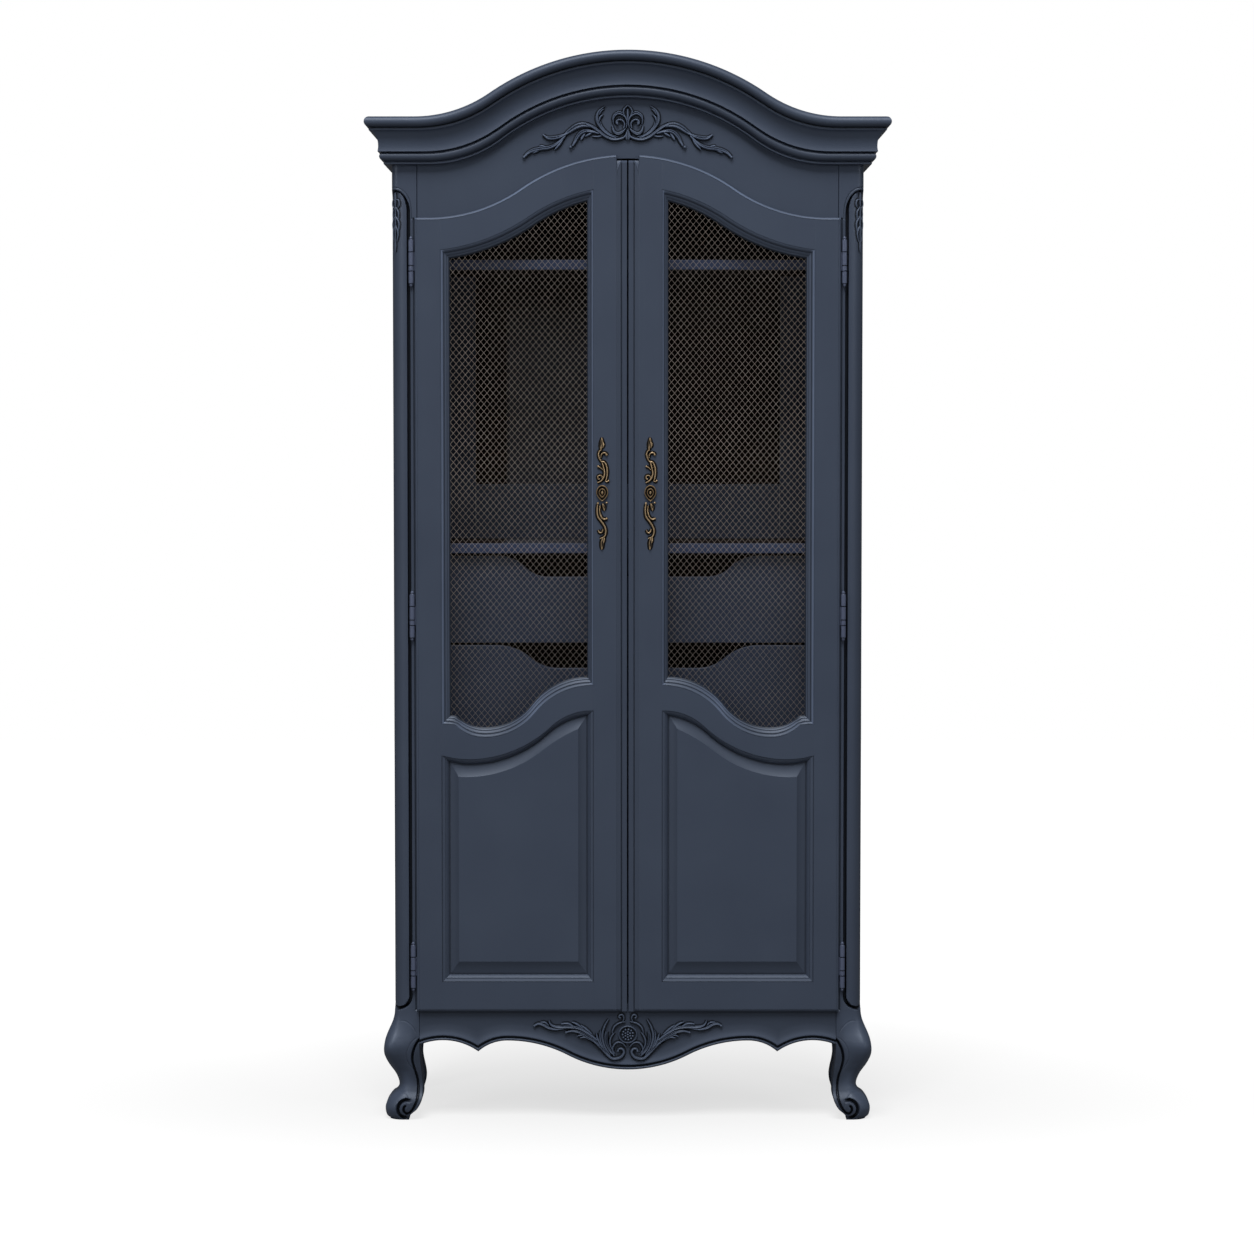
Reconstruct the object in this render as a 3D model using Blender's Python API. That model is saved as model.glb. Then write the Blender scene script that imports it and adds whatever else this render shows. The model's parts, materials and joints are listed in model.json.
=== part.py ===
"""Painted French armoire hutch: two wire mesh doors, shelves and two pull-out trays."""
import math
from collections import namedtuple

import bmesh
import bpy
from mathutils import Vector

# Overall sizes in metres: x runs across, y runs from front to back, z runs up from the floor
BODY_WIDTH = 0.988
BODY_DEPTH = 0.400
CROWN_HEIGHT = 2.248
CORNICE_OUT = 0.054

# Gaps between pieces that touch or run past each other
FIT = 0.0003
MITRE_GAP = 0.0006
DOOR_CLEAR = 0.0025
DRAWER_CLEAR = 0.0025
# How far cutting shapes run past the piece they cut
CUT_PAST = 0.05

# Posts and legs
POST_WIDTH = 0.053
POST_DEPTH = 0.050
REAR_DEPTH = 0.045
POST_TOP_DROP = 0.143
CORNER_RADIUS = 0.030
SQUARE_EDGE = 0.003
CORNER_TOP_DROP = 0.287
CORNER_BOTTOM = 0.236
LEG_EDGE = 0.012
# Leg outlines as (height, distance past the post's outer or inner face)
KNEE_LINE = ((0.000, 0.005), (0.029, 0.0178), (0.065, 0.001), (0.080, -0.012), (0.104, -0.004),
             (0.155, 0.020), (0.187, 0.015), (0.229, 0.000))
CALF_LINE = ((0.000, -0.0285), (0.014, -0.018), (0.033, -0.003), (0.061, 0.0053), (0.097, -0.0028),
             (0.129, -0.0148), (0.165, 0.000))
REAR_KNEE = ((0.000, 0.000), (0.030, 0.004), (0.090, -0.006), (0.165, 0.006), (0.229, 0.000))
REAR_CALF = ((0.000, -0.011), (0.045, -0.001), (0.104, -0.010), (0.165, 0.000))
LEG_STATIONS = 16

# Boards of the case
PANEL_RECESS = 0.005
PANEL_THICKNESS = 0.016
SIDE_HEAD = 0.115
SIDE_FOOT = 0.045
BOARD_THICKNESS = 0.020
BACK_THICKNESS = 0.008
BACK_RECESS = 0.004
BACK_BOTTOM = 0.165
HOUSING_DEPTH = 0.006
DECK_THICKNESS = 0.018
TOP_DECK_DROP = 0.155
SHELF_THICKNESS = 0.0208
SHELF_SETBACK = 0.0025
UPPER_SHELF_DROP = 0.4506
LOWER_SHELF = 1.1993
APRON_LOW = 0.1084
APRON_RISE = 0.061
APRON_RISE_MARGIN = 0.186
CUSP_HEIGHT = 0.1473
CUSP_MARGIN = 0.1243
ARCH_HEIGHT = 0.1704
ARCH_MARGIN = 0.0495
SIDE_APRON_LOW = 0.150
SIDE_APRON_RISE = 0.026
EVEN_SHARE = 0.5

# Arched lines: crown below the cornice crown, rise, margin inside the posts, share of the crown arc
Arch = namedtuple("Arch", "drop rise margin share")
CORNICE_TOP = Arch(0.000, 0.1375, -0.0028, 0.649)
CORNICE_FOOT = Arch(0.100, 0.1350, 0.0267, 0.634)
DOOR_TOP = Arch(0.214, 0.1308, 0.0233, 0.534)
MESH_TOP = Arch(0.300, 0.1340, 0.0082, 0.452)
FRIEZE_TOP_DROP = 0.004
ARCH_STATIONS = 18

# Cornice profile heights, as drops below its top line, and how far each member stands out
BEAD_HEIGHT = 0.022
FILLET_DROP = 0.028
FILLET_OUT = 0.044
COVE_DROP = 0.069
COVE_OUT = 0.0254
TORUS_TOP = 0.072
TORUS_BOTTOM = 0.092
TORUS_OUT = 0.0236
FOOT_DROP = 0.0976
FOOT_OUT = 0.004

# Doors
DOOR_THICKNESS = 0.022
DOOR_PROUD = 0.012
DOOR_LAP = 0.0049
DOOR_BOTTOM = 0.2354
BOTTOM_LAP = 0.010
HINGE_STILE = 0.073
MEETING_STILE = 0.0841
MEETING_GAP = 0.0013
STRIP_WIDTH = 0.0229
STRIP_RECESS = 0.008
RABBET = 0.008
RABBET_DEPTH = 0.012
DOOR_STATIONS = 12
# Curve of the mid rail: the valley is near the hinge stile, the crest at the meeting stile
VALLEY_MARGIN = 0.1394
VALLEY_RADIUS = 0.085
CURVE_SHARE = 0.54
MESH_VALLEY = 0.8336
MESH_CREST = 0.9406
MESH_SHOULDER = 0.8588
PANEL_VALLEY = 0.7500
PANEL_CREST = 0.8530
PANEL_SHOULDER = 0.7590
PANEL_FOOT = 0.3152
PANEL_FLANGE = 0.008
PANEL_BEVEL = 0.017
PANEL_FACE = 0.003
# Wire mesh, drawn with wide diamonds
MESH_THICKNESS = 0.003
MESH_BORDER = 0.010
DIAMOND_WIDTH = 0.0700
DIAMOND_HEIGHT = 0.0830
WIRE_WIDTH = 0.004

# Hinges: a pin with turned finials, and blades let into the post and the door's edge
HINGE_OUT = 0.0076
HINGE_PROUD = 0.0062
HINGE_INSET = 0.0915
BARREL_RADIUS = 0.0047
PIN_RADIUS = 0.0020
BORE_RADIUS = 0.0027
BARREL_LENGTH = 0.092
KNUCKLE_LENGTH = 0.040
FINIAL_LENGTH = 0.007
FINIAL_NECK = 0.0024
FINIAL_BALL = 0.0033
FINIAL_TIP = 0.0014
BLADE_THICKNESS = 0.0016
BLADE_DEPTH = 0.018
ROUND_SIDES = 8

# Handles
HANDLE_HEIGHT = 1.327
HANDLE_LENGTH = 0.2368
LEFT_HANDLE_IN = 0.054
RIGHT_HANDLE_IN = 0.047
HANDLE_HALF = 0.005
HANDLE_TAPER = 0.6
BOSS_SPREAD = 0.22
HANDLE_BOSS = 0.009
HANDLE_RELIEF = 0.006
HANDLE_BOSS_RELIEF = 0.010
HANDLE_SWAY = 0.006
HANDLE_STATIONS = 18

# Pull-out trays and their guides
GUIDE_THICKNESS = 0.018
GUIDE_SETBACK = 0.030
LEDGE_OUT = 0.020
LEDGE_HEIGHT = 0.014
DRAWER_TRAVEL = 0.060
DRAWER_GAP = 0.0053
DRAWER_TOP_GAP = 0.0068
DRAWER_HEIGHT = 0.1845
DRAWER_FRONT_THICKNESS = 0.018
DRAWER_SIDE_THICKNESS = 0.012
DRAWER_SIDE_DROP = 0.030
DRAWER_BACK_GAP = 0.012
DRAWER_BOTTOM_THICKNESS = 0.006
DRAWER_BOTTOM_RISE = 0.008
SCOOP_HALF = 0.256
SCOOP_RUN = 0.080
SCOOP_DEPTHS = (0.044, 0.049)
SCOOP_SHARE = 0.45
SCOOP_STATIONS = 8

# Carvings: half length, height of the spray's root and tip, and how far they stand out
Carving = namedtuple("Carving", "half root tip tall relief lobes")
FRIEZE_CARVING_DROP = 0.148
FRIEZE_CARVING_FALL = 0.064
FRIEZE_CARVING_ROOT = CROWN_HEIGHT - FRIEZE_CARVING_DROP
FRIEZE_CARVING = Carving(0.215, FRIEZE_CARVING_ROOT, FRIEZE_CARVING_ROOT - FRIEZE_CARVING_FALL, 0.036, 0.009, 5)
APRON_CARVING = Carving(0.200, 0.178, 0.205, 0.046, 0.010, 4)
CARVING_TIP = 0.004
CARVING_RIM = 0.35
CARVING_CROWN = 0.55
LOBE_DEPTH = 0.25
CARVING_STATIONS = 14

# Places worked out from the sizes above
BODY_HALF = BODY_WIDTH / 2
FRONT = (CORNICE_OUT - BODY_DEPTH) / 2
BACK = FRONT + BODY_DEPTH
OPENING_HALF = BODY_HALF - POST_WIDTH
PANEL_INSIDE = BODY_HALF - PANEL_RECESS - PANEL_THICKNESS
HOUSED_HALF = PANEL_INSIDE + HOUSING_DEPTH - FIT
BACK_FACE = BACK - BACK_RECESS - BACK_THICKNESS
POST_TOP = CROWN_HEIGHT - POST_TOP_DROP
DECK_TOP = DOOR_BOTTOM + BOTTOM_LAP
TOP_DECK = CROWN_HEIGHT - TOP_DECK_DROP
UPPER_SHELF = CROWN_HEIGHT - UPPER_SHELF_DROP
DOOR_FACE = FRONT - DOOR_PROUD
DOOR_BACK = DOOR_FACE + DOOR_THICKNESS
DOOR_OUT = OPENING_HALF + DOOR_LAP
STILE_IN = DOOR_OUT - HINGE_STILE
MEETING_IN = MEETING_GAP + MEETING_STILE
RABBET_FACE = DOOR_FACE + RABBET_DEPTH
HINGE_AXIS_OUT = DOOR_OUT + HINGE_OUT
HINGE_AXIS_Y = FRONT - HINGE_PROUD
DRAWER_FACE = DOOR_BACK + DOOR_CLEAR + DRAWER_TRAVEL
GUIDE_IN = OPENING_HALF - FIT - GUIDE_THICKNESS
DRAWER_HALF = GUIDE_IN - DRAWER_CLEAR
SIDES = (("left", -1), ("right", 1))


def clear_scene():
    """Remove what a new file starts with."""
    for thing in list(bpy.data.objects):
        bpy.data.objects.remove(thing)


def finish(name, colour, roughness, metallic):
    """A plain surface colour for one kind of material."""
    material = bpy.data.materials.new(name)
    material.use_nodes = True
    shader = material.node_tree.nodes["Principled BSDF"]
    shader.inputs["Base Color"].default_value = (*colour, 1.0)
    shader.inputs["Roughness"].default_value = roughness
    shader.inputs["Metallic"].default_value = metallic
    return material


def loft(rings, closed=False):
    """Skin a run of rings of equal count; a closed run joins its end to its start."""
    shape = bmesh.new()
    rows = [[shape.verts.new(point) for point in ring] for ring in rings]
    pairs = list(zip(rows, rows[1:]))
    if closed:
        pairs.append((rows[-1], rows[0]))
    for low, high in pairs:
        for i in range(len(low)):
            j = (i + 1) % len(low)
            shape.faces.new((low[i], low[j], high[j], high[i]))
    if not closed:
        shape.faces.new(rows[0][::-1])
        shape.faces.new(rows[-1])
    bmesh.ops.recalc_face_normals(shape, faces=shape.faces)
    return shape


def prism(outline, start, stop, along="y"):
    """Extrude a flat outline between two levels along one axis."""
    placed = {
        "x": lambda a, b, level: (level, a, b),
        "y": lambda a, b, level: (a, level, b),
        "z": lambda a, b, level: (a, b, level),
    }[along]
    return loft([[placed(a, b, level) for a, b in outline] for level in (start, stop)])


def block(low, high):
    """A rectangular solid between two corners, in any order."""
    outline = ((low[0], low[2]), (high[0], low[2]), (high[0], high[2]), (low[0], high[2]))
    return prism(outline, low[1], high[1])


def solid(name, shape, material=None, parent=None):
    """Put a shape in the scene with its origin at its middle, or on its parent's axis."""
    low = [min(vert.co[k] for vert in shape.verts) for k in range(3)]
    high = [max(vert.co[k] for vert in shape.verts) for k in range(3)]
    origin = parent.location.copy() if parent else (Vector(low) + Vector(high)) / 2
    bmesh.ops.translate(shape, verts=shape.verts, vec=-origin)
    mesh = bpy.data.meshes.new(name)
    shape.to_mesh(mesh)
    shape.free()
    thing = bpy.data.objects.new(name, mesh)
    bpy.context.collection.objects.link(thing)
    if parent:
        thing.parent = parent
    else:
        thing.location = origin
    if material:
        mesh.materials.append(material)
    return thing


def combine(thing, shapes, operation):
    """Cut, join or trim an object with plain shapes and keep only the result."""
    tools = [solid("tool", shape) for shape in shapes]
    for tool in tools:
        change = thing.modifiers.new(operation, "BOOLEAN")
        change.operation = operation
        change.solver = "EXACT"
        change.object = tool
    bpy.context.view_layer.update()
    graph = bpy.context.evaluated_depsgraph_get()
    result = bpy.data.meshes.new_from_object(thing.evaluated_get(graph))
    thing.modifiers.clear()
    thing.data = result
    for tool in tools:
        bpy.data.objects.remove(tool)
    return thing


def round_off(thing, angle=40):
    """Shade a round piece smooth and leave its real edges sharp."""
    thing.data.shade_smooth()
    thing.data.set_sharp_from_angle(angle=math.radians(angle))
    return thing


def spaced(start, stop, count):
    """Evenly spaced values from start to stop, both included."""
    return [start + (stop - start) * i / count for i in range(count + 1)]


def ogee(x, crown, spring, reach, share):
    """Height of an arch of two tangent arcs at a distance x from its crown."""
    x = min(abs(x), reach)
    turn = 2 * math.atan2(crown - spring, reach)
    radii = reach / math.sin(turn)
    crown_radius = share * radii
    if x <= crown_radius * math.sin(turn):
        return crown - crown_radius + math.sqrt(crown_radius ** 2 - x ** 2)
    spring_radius = radii - crown_radius
    return spring + spring_radius - math.sqrt(spring_radius ** 2 - (reach - x) ** 2)


def arch_line(arch, x):
    """Height of one of the named arched lines at x."""
    crown = CROWN_HEIGHT - arch.drop
    return ogee(x, crown, crown - arch.rise, OPENING_HALF - arch.margin, arch.share)


def door_head(s):
    """Upper edge of the doors."""
    return arch_line(DOOR_TOP, s)


def mesh_head(s):
    """Upper edge of the mesh openings."""
    return arch_line(MESH_TOP, s)


def knot_line(knots, z):
    """Smooth line through (height, distance) knots, level at both ends."""
    if z >= knots[-1][0]:
        return knots[-1][1]
    last = len(knots) - 1
    k = max(i for i in range(last) if knots[i][0] <= z)
    slopes = [0.0] * (last + 1)
    for i in range(1, last):
        slopes[i] = (knots[i + 1][1] - knots[i - 1][1]) / (knots[i + 1][0] - knots[i - 1][0])
    (low_z, low), (high_z, high) = knots[k], knots[k + 1]
    span = high_z - low_z
    t = (z - low_z) / span
    ends = low * (1 + 2 * t) * (1 - t) ** 2 + high * t * t * (3 - 2 * t)
    return ends + span * (slopes[k] * t * (1 - t) ** 2 - slopes[k + 1] * t * t * (1 - t))


def door_curve(s, valley, crest, shoulder):
    """Height of the mid rail's curve, s being the distance from the cabinet's centre."""
    valley_s = OPENING_HALF - VALLEY_MARGIN
    if s > valley_s:
        run = min(s - valley_s, VALLEY_RADIUS)
        return min(shoulder, valley + VALLEY_RADIUS - math.sqrt(VALLEY_RADIUS ** 2 - run ** 2))
    return ogee(s - MEETING_IN, crest, valley, valley_s - MEETING_IN, CURVE_SHARE)


def mesh_foot(s):
    """Lower edge of the mesh opening."""
    return door_curve(max(s, MEETING_IN), MESH_VALLEY, MESH_CREST, MESH_SHOULDER)


def panel_head(s):
    """Upper edge of the lower panel's opening."""
    return door_curve(max(s, MEETING_IN), PANEL_VALLEY, PANEL_CREST, PANEL_SHOULDER)


def band(side, start, stop, low, high, count=DOOR_STATIONS):
    """Outline between two lines, from start to stop away from the centre, on one side."""
    stations = spaced(start, stop, count)
    under = [(side * s, low(s)) for s in stations]
    over = [(side * s, high(s)) for s in reversed(stations)]
    return under + over


def level(height):
    """A line at one height."""
    return lambda s: height


def raised(line, amount):
    """The same line, higher by an amount."""
    return lambda s: line(s) + amount


def section(side, inner, outer, front, back, corner, z):
    """Ring of a post or leg: four corners, the outer front one rounded."""
    ring = [(inner, front)]
    for angle in (0, 30, 60, 90):
        turn = math.radians(angle)
        ring.append((outer - corner * (1 - math.sin(turn)), front + corner * (1 - math.cos(turn))))
    ring += [(outer, back), (inner, back)]
    return [(side * x, y, z) for x, y in ring]


def hinge_heights():
    """Middles of the three hinges of a door."""
    low = DOOR_BOTTOM + HINGE_INSET
    high = CROWN_HEIGHT - DOOR_TOP.drop - DOOR_TOP.rise - HINGE_INSET
    return (("bottom", low), ("middle", (low + high) / 2), ("top", high))


def front_post(name, side, material):
    """Front post with its cabriole leg, and mortises for the hinge blades."""
    rings = []
    for z in spaced(0, KNEE_LINE[-1][0], LEG_STATIONS):
        outer = BODY_HALF + knot_line(KNEE_LINE, z)
        inner = OPENING_HALF - knot_line(CALF_LINE, z)
        front = FRONT - knot_line(KNEE_LINE, z)
        depth = POST_DEPTH * (outer - inner) / POST_WIDTH
        rings.append(section(side, inner, outer, front, front + depth, LEG_EDGE, z))
    corner_top = CROWN_HEIGHT - CORNER_TOP_DROP
    for z, corner in ((CORNER_BOTTOM, SQUARE_EDGE), (CORNER_BOTTOM + CORNER_RADIUS, CORNER_RADIUS),
                      (corner_top - CORNER_RADIUS, CORNER_RADIUS), (corner_top, SQUARE_EDGE),
                      (POST_TOP, SQUARE_EDGE)):
        rings.append(section(side, OPENING_HALF, BODY_HALF, FRONT, FRONT + POST_DEPTH, corner, z))
    post = solid(name, loft(rings), material)
    half = BLADE_THICKNESS / 2 + FIT
    axis = side * HINGE_AXIS_OUT
    reach = FRONT + BLADE_DEPTH + FIT
    tall = BARREL_LENGTH / 2 + FIT
    mortises = [block((axis - half, FRONT - CUT_PAST, z - tall), (axis + half, reach, z + tall))
                for _, z in hinge_heights()]
    return combine(post, mortises, "DIFFERENCE")


def rear_post(name, side, material):
    """Rear post with a plain curved leg."""
    rings = []
    for z in spaced(0, REAR_KNEE[-1][0], LEG_STATIONS // 2) + [POST_TOP]:
        outer = BODY_HALF + knot_line(REAR_KNEE, z)
        inner = OPENING_HALF - knot_line(REAR_CALF, z)
        front = BACK - REAR_DEPTH * min(1, (outer - inner) / POST_WIDTH)
        ring = [(inner, front), (outer, front), (outer, BACK), (inner, BACK)]
        rings.append([(side * x, y, z) for x, y in ring])
    return solid(name, loft(rings), material)


def deck_outline(front):
    """Plan of a board between the side panels, notched round the posts."""
    inset = OPENING_HALF - FIT
    front_step = FRONT + POST_DEPTH + FIT
    rear_step = BACK - REAR_DEPTH - FIT
    back = BACK_FACE - FIT
    right = [(HOUSED_HALF, rear_step), (inset, rear_step), (inset, back)]
    if front < front_step:
        right = [(inset, front), (inset, front_step), (HOUSED_HALF, front_step)] + right
    else:
        right = [(HOUSED_HALF, front)] + right
    return right + [(-x, y) for x, y in reversed(right)]


def decks():
    """Names, undersides, thicknesses and front edges of the boards housed in the sides."""
    behind_rail = FRONT + BOARD_THICKNESS + FIT
    behind_post = FRONT + POST_DEPTH + SHELF_SETBACK
    return (("floor_board", DECK_TOP - DECK_THICKNESS, DECK_THICKNESS, behind_rail),
            ("lower_shelf", LOWER_SHELF, SHELF_THICKNESS, behind_post),
            ("upper_shelf", UPPER_SHELF, SHELF_THICKNESS, behind_post),
            ("top_board", TOP_DECK - DECK_THICKNESS, DECK_THICKNESS, behind_rail))


def side_panel(name, side, material):
    """Side panel between the posts, flush at its head and foot, with housings for the boards."""
    front = FRONT + POST_DEPTH + FIT
    back = BACK - REAR_DEPTH - FIT
    low = DECK_TOP - DECK_THICKNESS - HOUSING_DEPTH
    face = BODY_HALF - PANEL_RECESS
    outline = ((PANEL_INSIDE, low), (BODY_HALF, low), (BODY_HALF, low + SIDE_FOOT), (face, low + SIDE_FOOT),
               (face, POST_TOP - SIDE_HEAD), (BODY_HALF, POST_TOP - SIDE_HEAD), (BODY_HALF, POST_TOP),
               (PANEL_INSIDE, POST_TOP))
    panel = solid(name, prism([(side * x, z) for x, z in outline], front, back), material)
    floor = side * (PANEL_INSIDE + HOUSING_DEPTH)
    mouth = side * (PANEL_INSIDE - HOUSING_DEPTH)
    housings = [block((mouth, FRONT, z - FIT), (floor, BACK, z + thickness + FIT))
                for _, z, thickness, _ in decks()]
    return combine(panel, housings, "DIFFERENCE")


def side_apron(name, side, material):
    """Arched rail under a side panel, between the legs."""
    front = FRONT + POST_DEPTH + FIT
    back = BACK - REAR_DEPTH - FIT
    middle = (front + back) / 2
    reach = (back - front) / 2
    top = DECK_TOP - DECK_THICKNESS - HOUSING_DEPTH - FIT
    stations = spaced(front, back, ARCH_STATIONS // 2)
    rise = SIDE_APRON_RISE
    under = [(y, ogee(y - middle, SIDE_APRON_LOW + rise, SIDE_APRON_LOW, reach, EVEN_SHARE))
             for y in stations]
    outline = under + [(back, top), (front, top)]
    return solid(name, prism(outline, side * PANEL_INSIDE, side * BODY_HALF, "x"), material)


def apron_edge(x):
    """Lower edge of the front apron: a central drop, a cusp and an arch at each leg."""
    s = abs(x)
    crest = OPENING_HALF - APRON_RISE_MARGIN
    cusp = OPENING_HALF - CUSP_MARGIN
    arch = OPENING_HALF - ARCH_MARGIN
    top = APRON_LOW + APRON_RISE
    if s <= crest:
        return ogee(crest - s, top, APRON_LOW, crest, EVEN_SHARE)
    centre, height = (crest, top) if s <= cusp else (arch, ARCH_HEIGHT)
    fall = height - CUSP_HEIGHT
    radius = ((cusp - centre) ** 2 + fall ** 2) / (2 * fall)
    return height - radius + math.sqrt(radius ** 2 - (s - centre) ** 2)


def apron(name, material):
    """Shaped rail between the front legs, under the doors."""
    half = OPENING_HALF - FIT
    cusp = OPENING_HALF - CUSP_MARGIN
    right = spaced(0, cusp, ARCH_STATIONS // 2) + spaced(cusp, half, ARCH_STATIONS // 3)[1:]
    stations = [-x for x in reversed(right[1:])] + right
    outline = [(x, apron_edge(x)) for x in stations] + [(half, DECK_TOP), (-half, DECK_TOP)]
    return solid(name, prism(outline, FRONT, FRONT + BOARD_THICKNESS), material)


def frieze(name, material):
    """Arched board over the doors, which also backs the cornice."""
    half = OPENING_HALF - FIT
    stations = spaced(-half, half, ARCH_STATIONS * 2)
    under = [(x, arch_line(DOOR_TOP, x) - BOTTOM_LAP) for x in stations]
    over = [(x, arch_line(CORNICE_TOP, x) - FRIEZE_TOP_DROP) for x in reversed(stations)]
    return solid(name, prism(under + over, FRONT, FRONT + BOARD_THICKNESS), material)


def cornice_profile():
    """Cornice section as (distance out, drop), from the back of its top to its foot."""
    profile = [(FIT, 0.0)]
    radius = BEAD_HEIGHT / 2
    for angle in (90, 45, 0, -45, -90):
        turn = math.radians(angle)
        profile.append((CORNICE_OUT - radius + radius * math.cos(turn), radius - radius * math.sin(turn)))
    profile.append((FILLET_OUT, FILLET_DROP))
    for angle in (30, 60, 90):
        turn = math.radians(angle)
        out = COVE_OUT + (FILLET_OUT - COVE_OUT) * (1 - math.sin(turn))
        profile.append((out, FILLET_DROP + (COVE_DROP - FILLET_DROP) * (1 - math.cos(turn))))
    profile += [(TORUS_OUT, TORUS_TOP), (TORUS_OUT, TORUS_BOTTOM), (FOOT_OUT, FOOT_DROP)]
    profile.append((FIT, FOOT_DROP))
    return profile


def cornice_height(x, drop):
    """Height of a cornice member, between the arched top line and the arched foot line."""
    share = drop / FOOT_DROP
    return arch_line(CORNICE_TOP, x) * (1 - share) + arch_line(CORNICE_FOOT, x) * share


def cornice_front(name, material):
    """Arched front length of the cornice, mitred at both ends."""
    profile = cornice_profile()
    ends = {side: [(side * (BODY_HALF + out), FRONT - out, cornice_height(BODY_HALF, drop))
                   for out, drop in profile] for _, side in SIDES}
    reach = OPENING_HALF - CORNICE_TOP.margin
    between = [[(x, FRONT - out, cornice_height(x, drop)) for out, drop in profile]
               for x in spaced(-reach, reach, ARCH_STATIONS * 2)]
    return solid(name, loft([ends[-1]] + between + [ends[1]]), material)


def cornice_return(name, side, material):
    """Level side length of the cornice, mitred at the front."""
    mitre = []
    end = []
    for out, drop in cornice_profile():
        x = side * (BODY_HALF + out)
        z = cornice_height(BODY_HALF, drop)
        mitre.append((x, FRONT + MITRE_GAP - out, z))
        end.append((x, BACK, z))
    return solid(name, loft([mitre, end]), material)


def carving(name, place, shape, material):
    """Relief of a leafy spray that swells into lobes on both sides of its root."""
    rings = []
    for x in spaced(-shape.half, shape.half, CARVING_STATIONS * 2):
        t = abs(x) / shape.half
        middle = shape.root + (shape.tip - shape.root) * t * t
        swell = (1 - t) * (1 - LOBE_DEPTH + LOBE_DEPTH * math.cos(2 * math.pi * shape.lobes * t))
        tall = CARVING_TIP + (shape.tall - CARVING_TIP) * swell
        crown = tall * CARVING_CROWN
        out = place - shape.relief * (CARVING_RIM + (1 - CARVING_RIM) * swell)
        seat = place - FIT
        rings.append([(x, seat, middle - tall), (x, seat, middle + tall), (x, out, middle + crown),
                      (x, out, middle - crown)])
    return round_off(solid(name, loft(rings), material))


def door_axis(name, side):
    """Empty on a door's hinge axis, which carries the whole door."""
    axis = bpy.data.objects.new(name, None)
    axis.location = (side * HINGE_AXIS_OUT, HINGE_AXIS_Y, DOOR_BOTTOM)
    bpy.context.collection.objects.link(axis)
    return axis


def opening_band(side, low, high, grow):
    """Outline of a door opening, made larger all round by an amount."""
    return band(side, MEETING_IN - grow, STILE_IN + grow, raised(low, -grow), raised(high, grow))


def door_tools(side):
    """Shapes that cut the lap round the door and the rabbets for the mesh and the panel."""
    past = DOOR_BACK + CUT_PAST
    lap = BOTTOM_LAP + DOOR_CLEAR
    edge = side * (OPENING_HALF - DOOR_CLEAR)
    over = band(side, -CUT_PAST, DOOR_OUT + CUT_PAST, raised(door_head, -lap), raised(door_head, lap))
    back = FRONT - FIT
    return {
        "side": lambda: block((edge, back, 0), (side * (DOOR_OUT + CUT_PAST), past, CROWN_HEIGHT)),
        "foot": lambda: block((-side * CUT_PAST, back, 0), (side * BODY_HALF, past, DOOR_BOTTOM + lap)),
        "head": lambda: prism(over, back, past),
        "mesh": lambda: prism(opening_band(side, mesh_foot, mesh_head, RABBET), RABBET_FACE, past),
        "panel": lambda: prism(opening_band(side, level(PANEL_FOOT), panel_head, RABBET), RABBET_FACE, past),
    }


def door_frame(name, side, axis, material):
    """Stiles and rails of one door."""
    bottom = level(DOOR_BOTTOM)
    rail_in = MEETING_IN + FIT
    rail_out = STILE_IN - FIT
    members = (
        ("hinge_stile", STILE_IN, DOOR_OUT, bottom, door_head, ("side", "foot", "head", "mesh", "panel")),
        ("meeting_stile", MEETING_GAP, MEETING_IN, bottom, door_head, ("foot", "head", "mesh", "panel")),
        ("top_rail", rail_in, rail_out, mesh_head, door_head, ("head", "mesh")),
        ("mid_rail", rail_in, rail_out, panel_head, mesh_foot, ("mesh", "panel")),
        ("bottom_rail", rail_in, rail_out, bottom, level(PANEL_FOOT), ("foot", "panel")),
    )
    tools = door_tools(side)
    for part, start, stop, low, high, cuts in members:
        straight = part.endswith("stile")
        outline = band(side, start, stop, low, high, DOOR_STATIONS // 3 if straight else DOOR_STATIONS)
        member = solid(f"{name}_{part}", prism(outline, DOOR_FACE, DOOR_BACK), material, axis)
        shapes = [tools[cut]() for cut in cuts]
        if part == "meeting_stile":
            strip = side * (MEETING_GAP + STRIP_WIDTH)
            shapes.append(block((-side * CUT_PAST, DOOR_FACE - CUT_PAST, 0),
                                (strip, DOOR_FACE + STRIP_RECESS, CROWN_HEIGHT)))
        if part == "hinge_stile":
            half = BLADE_THICKNESS / 2 + FIT
            tall = KNUCKLE_LENGTH / 2 + FIT
            inner = side * (HINGE_AXIS_OUT - BLADE_DEPTH - FIT)
            outer = side * (DOOR_OUT + CUT_PAST)
            shapes += [block((inner, HINGE_AXIS_Y - half, z - tall), (outer, HINGE_AXIS_Y + half, z + tall))
                       for _, z in hinge_heights()]
        combine(member, shapes, "DIFFERENCE")


def door_panel(name, side, axis, material):
    """Raised panel that fills the lower opening from behind."""
    flange = RABBET_FACE + FIT
    rings = []
    for grow, y in ((RABBET - FIT, flange + PANEL_FLANGE), (RABBET - FIT, flange), (-FIT, flange),
                    (-PANEL_BEVEL, DOOR_FACE + PANEL_FACE)):
        outline = opening_band(side, level(PANEL_FOOT), panel_head, grow)
        rings.append([(x, y, z) for x, z in outline])
    return solid(name, loft(rings), material, axis)


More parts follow.
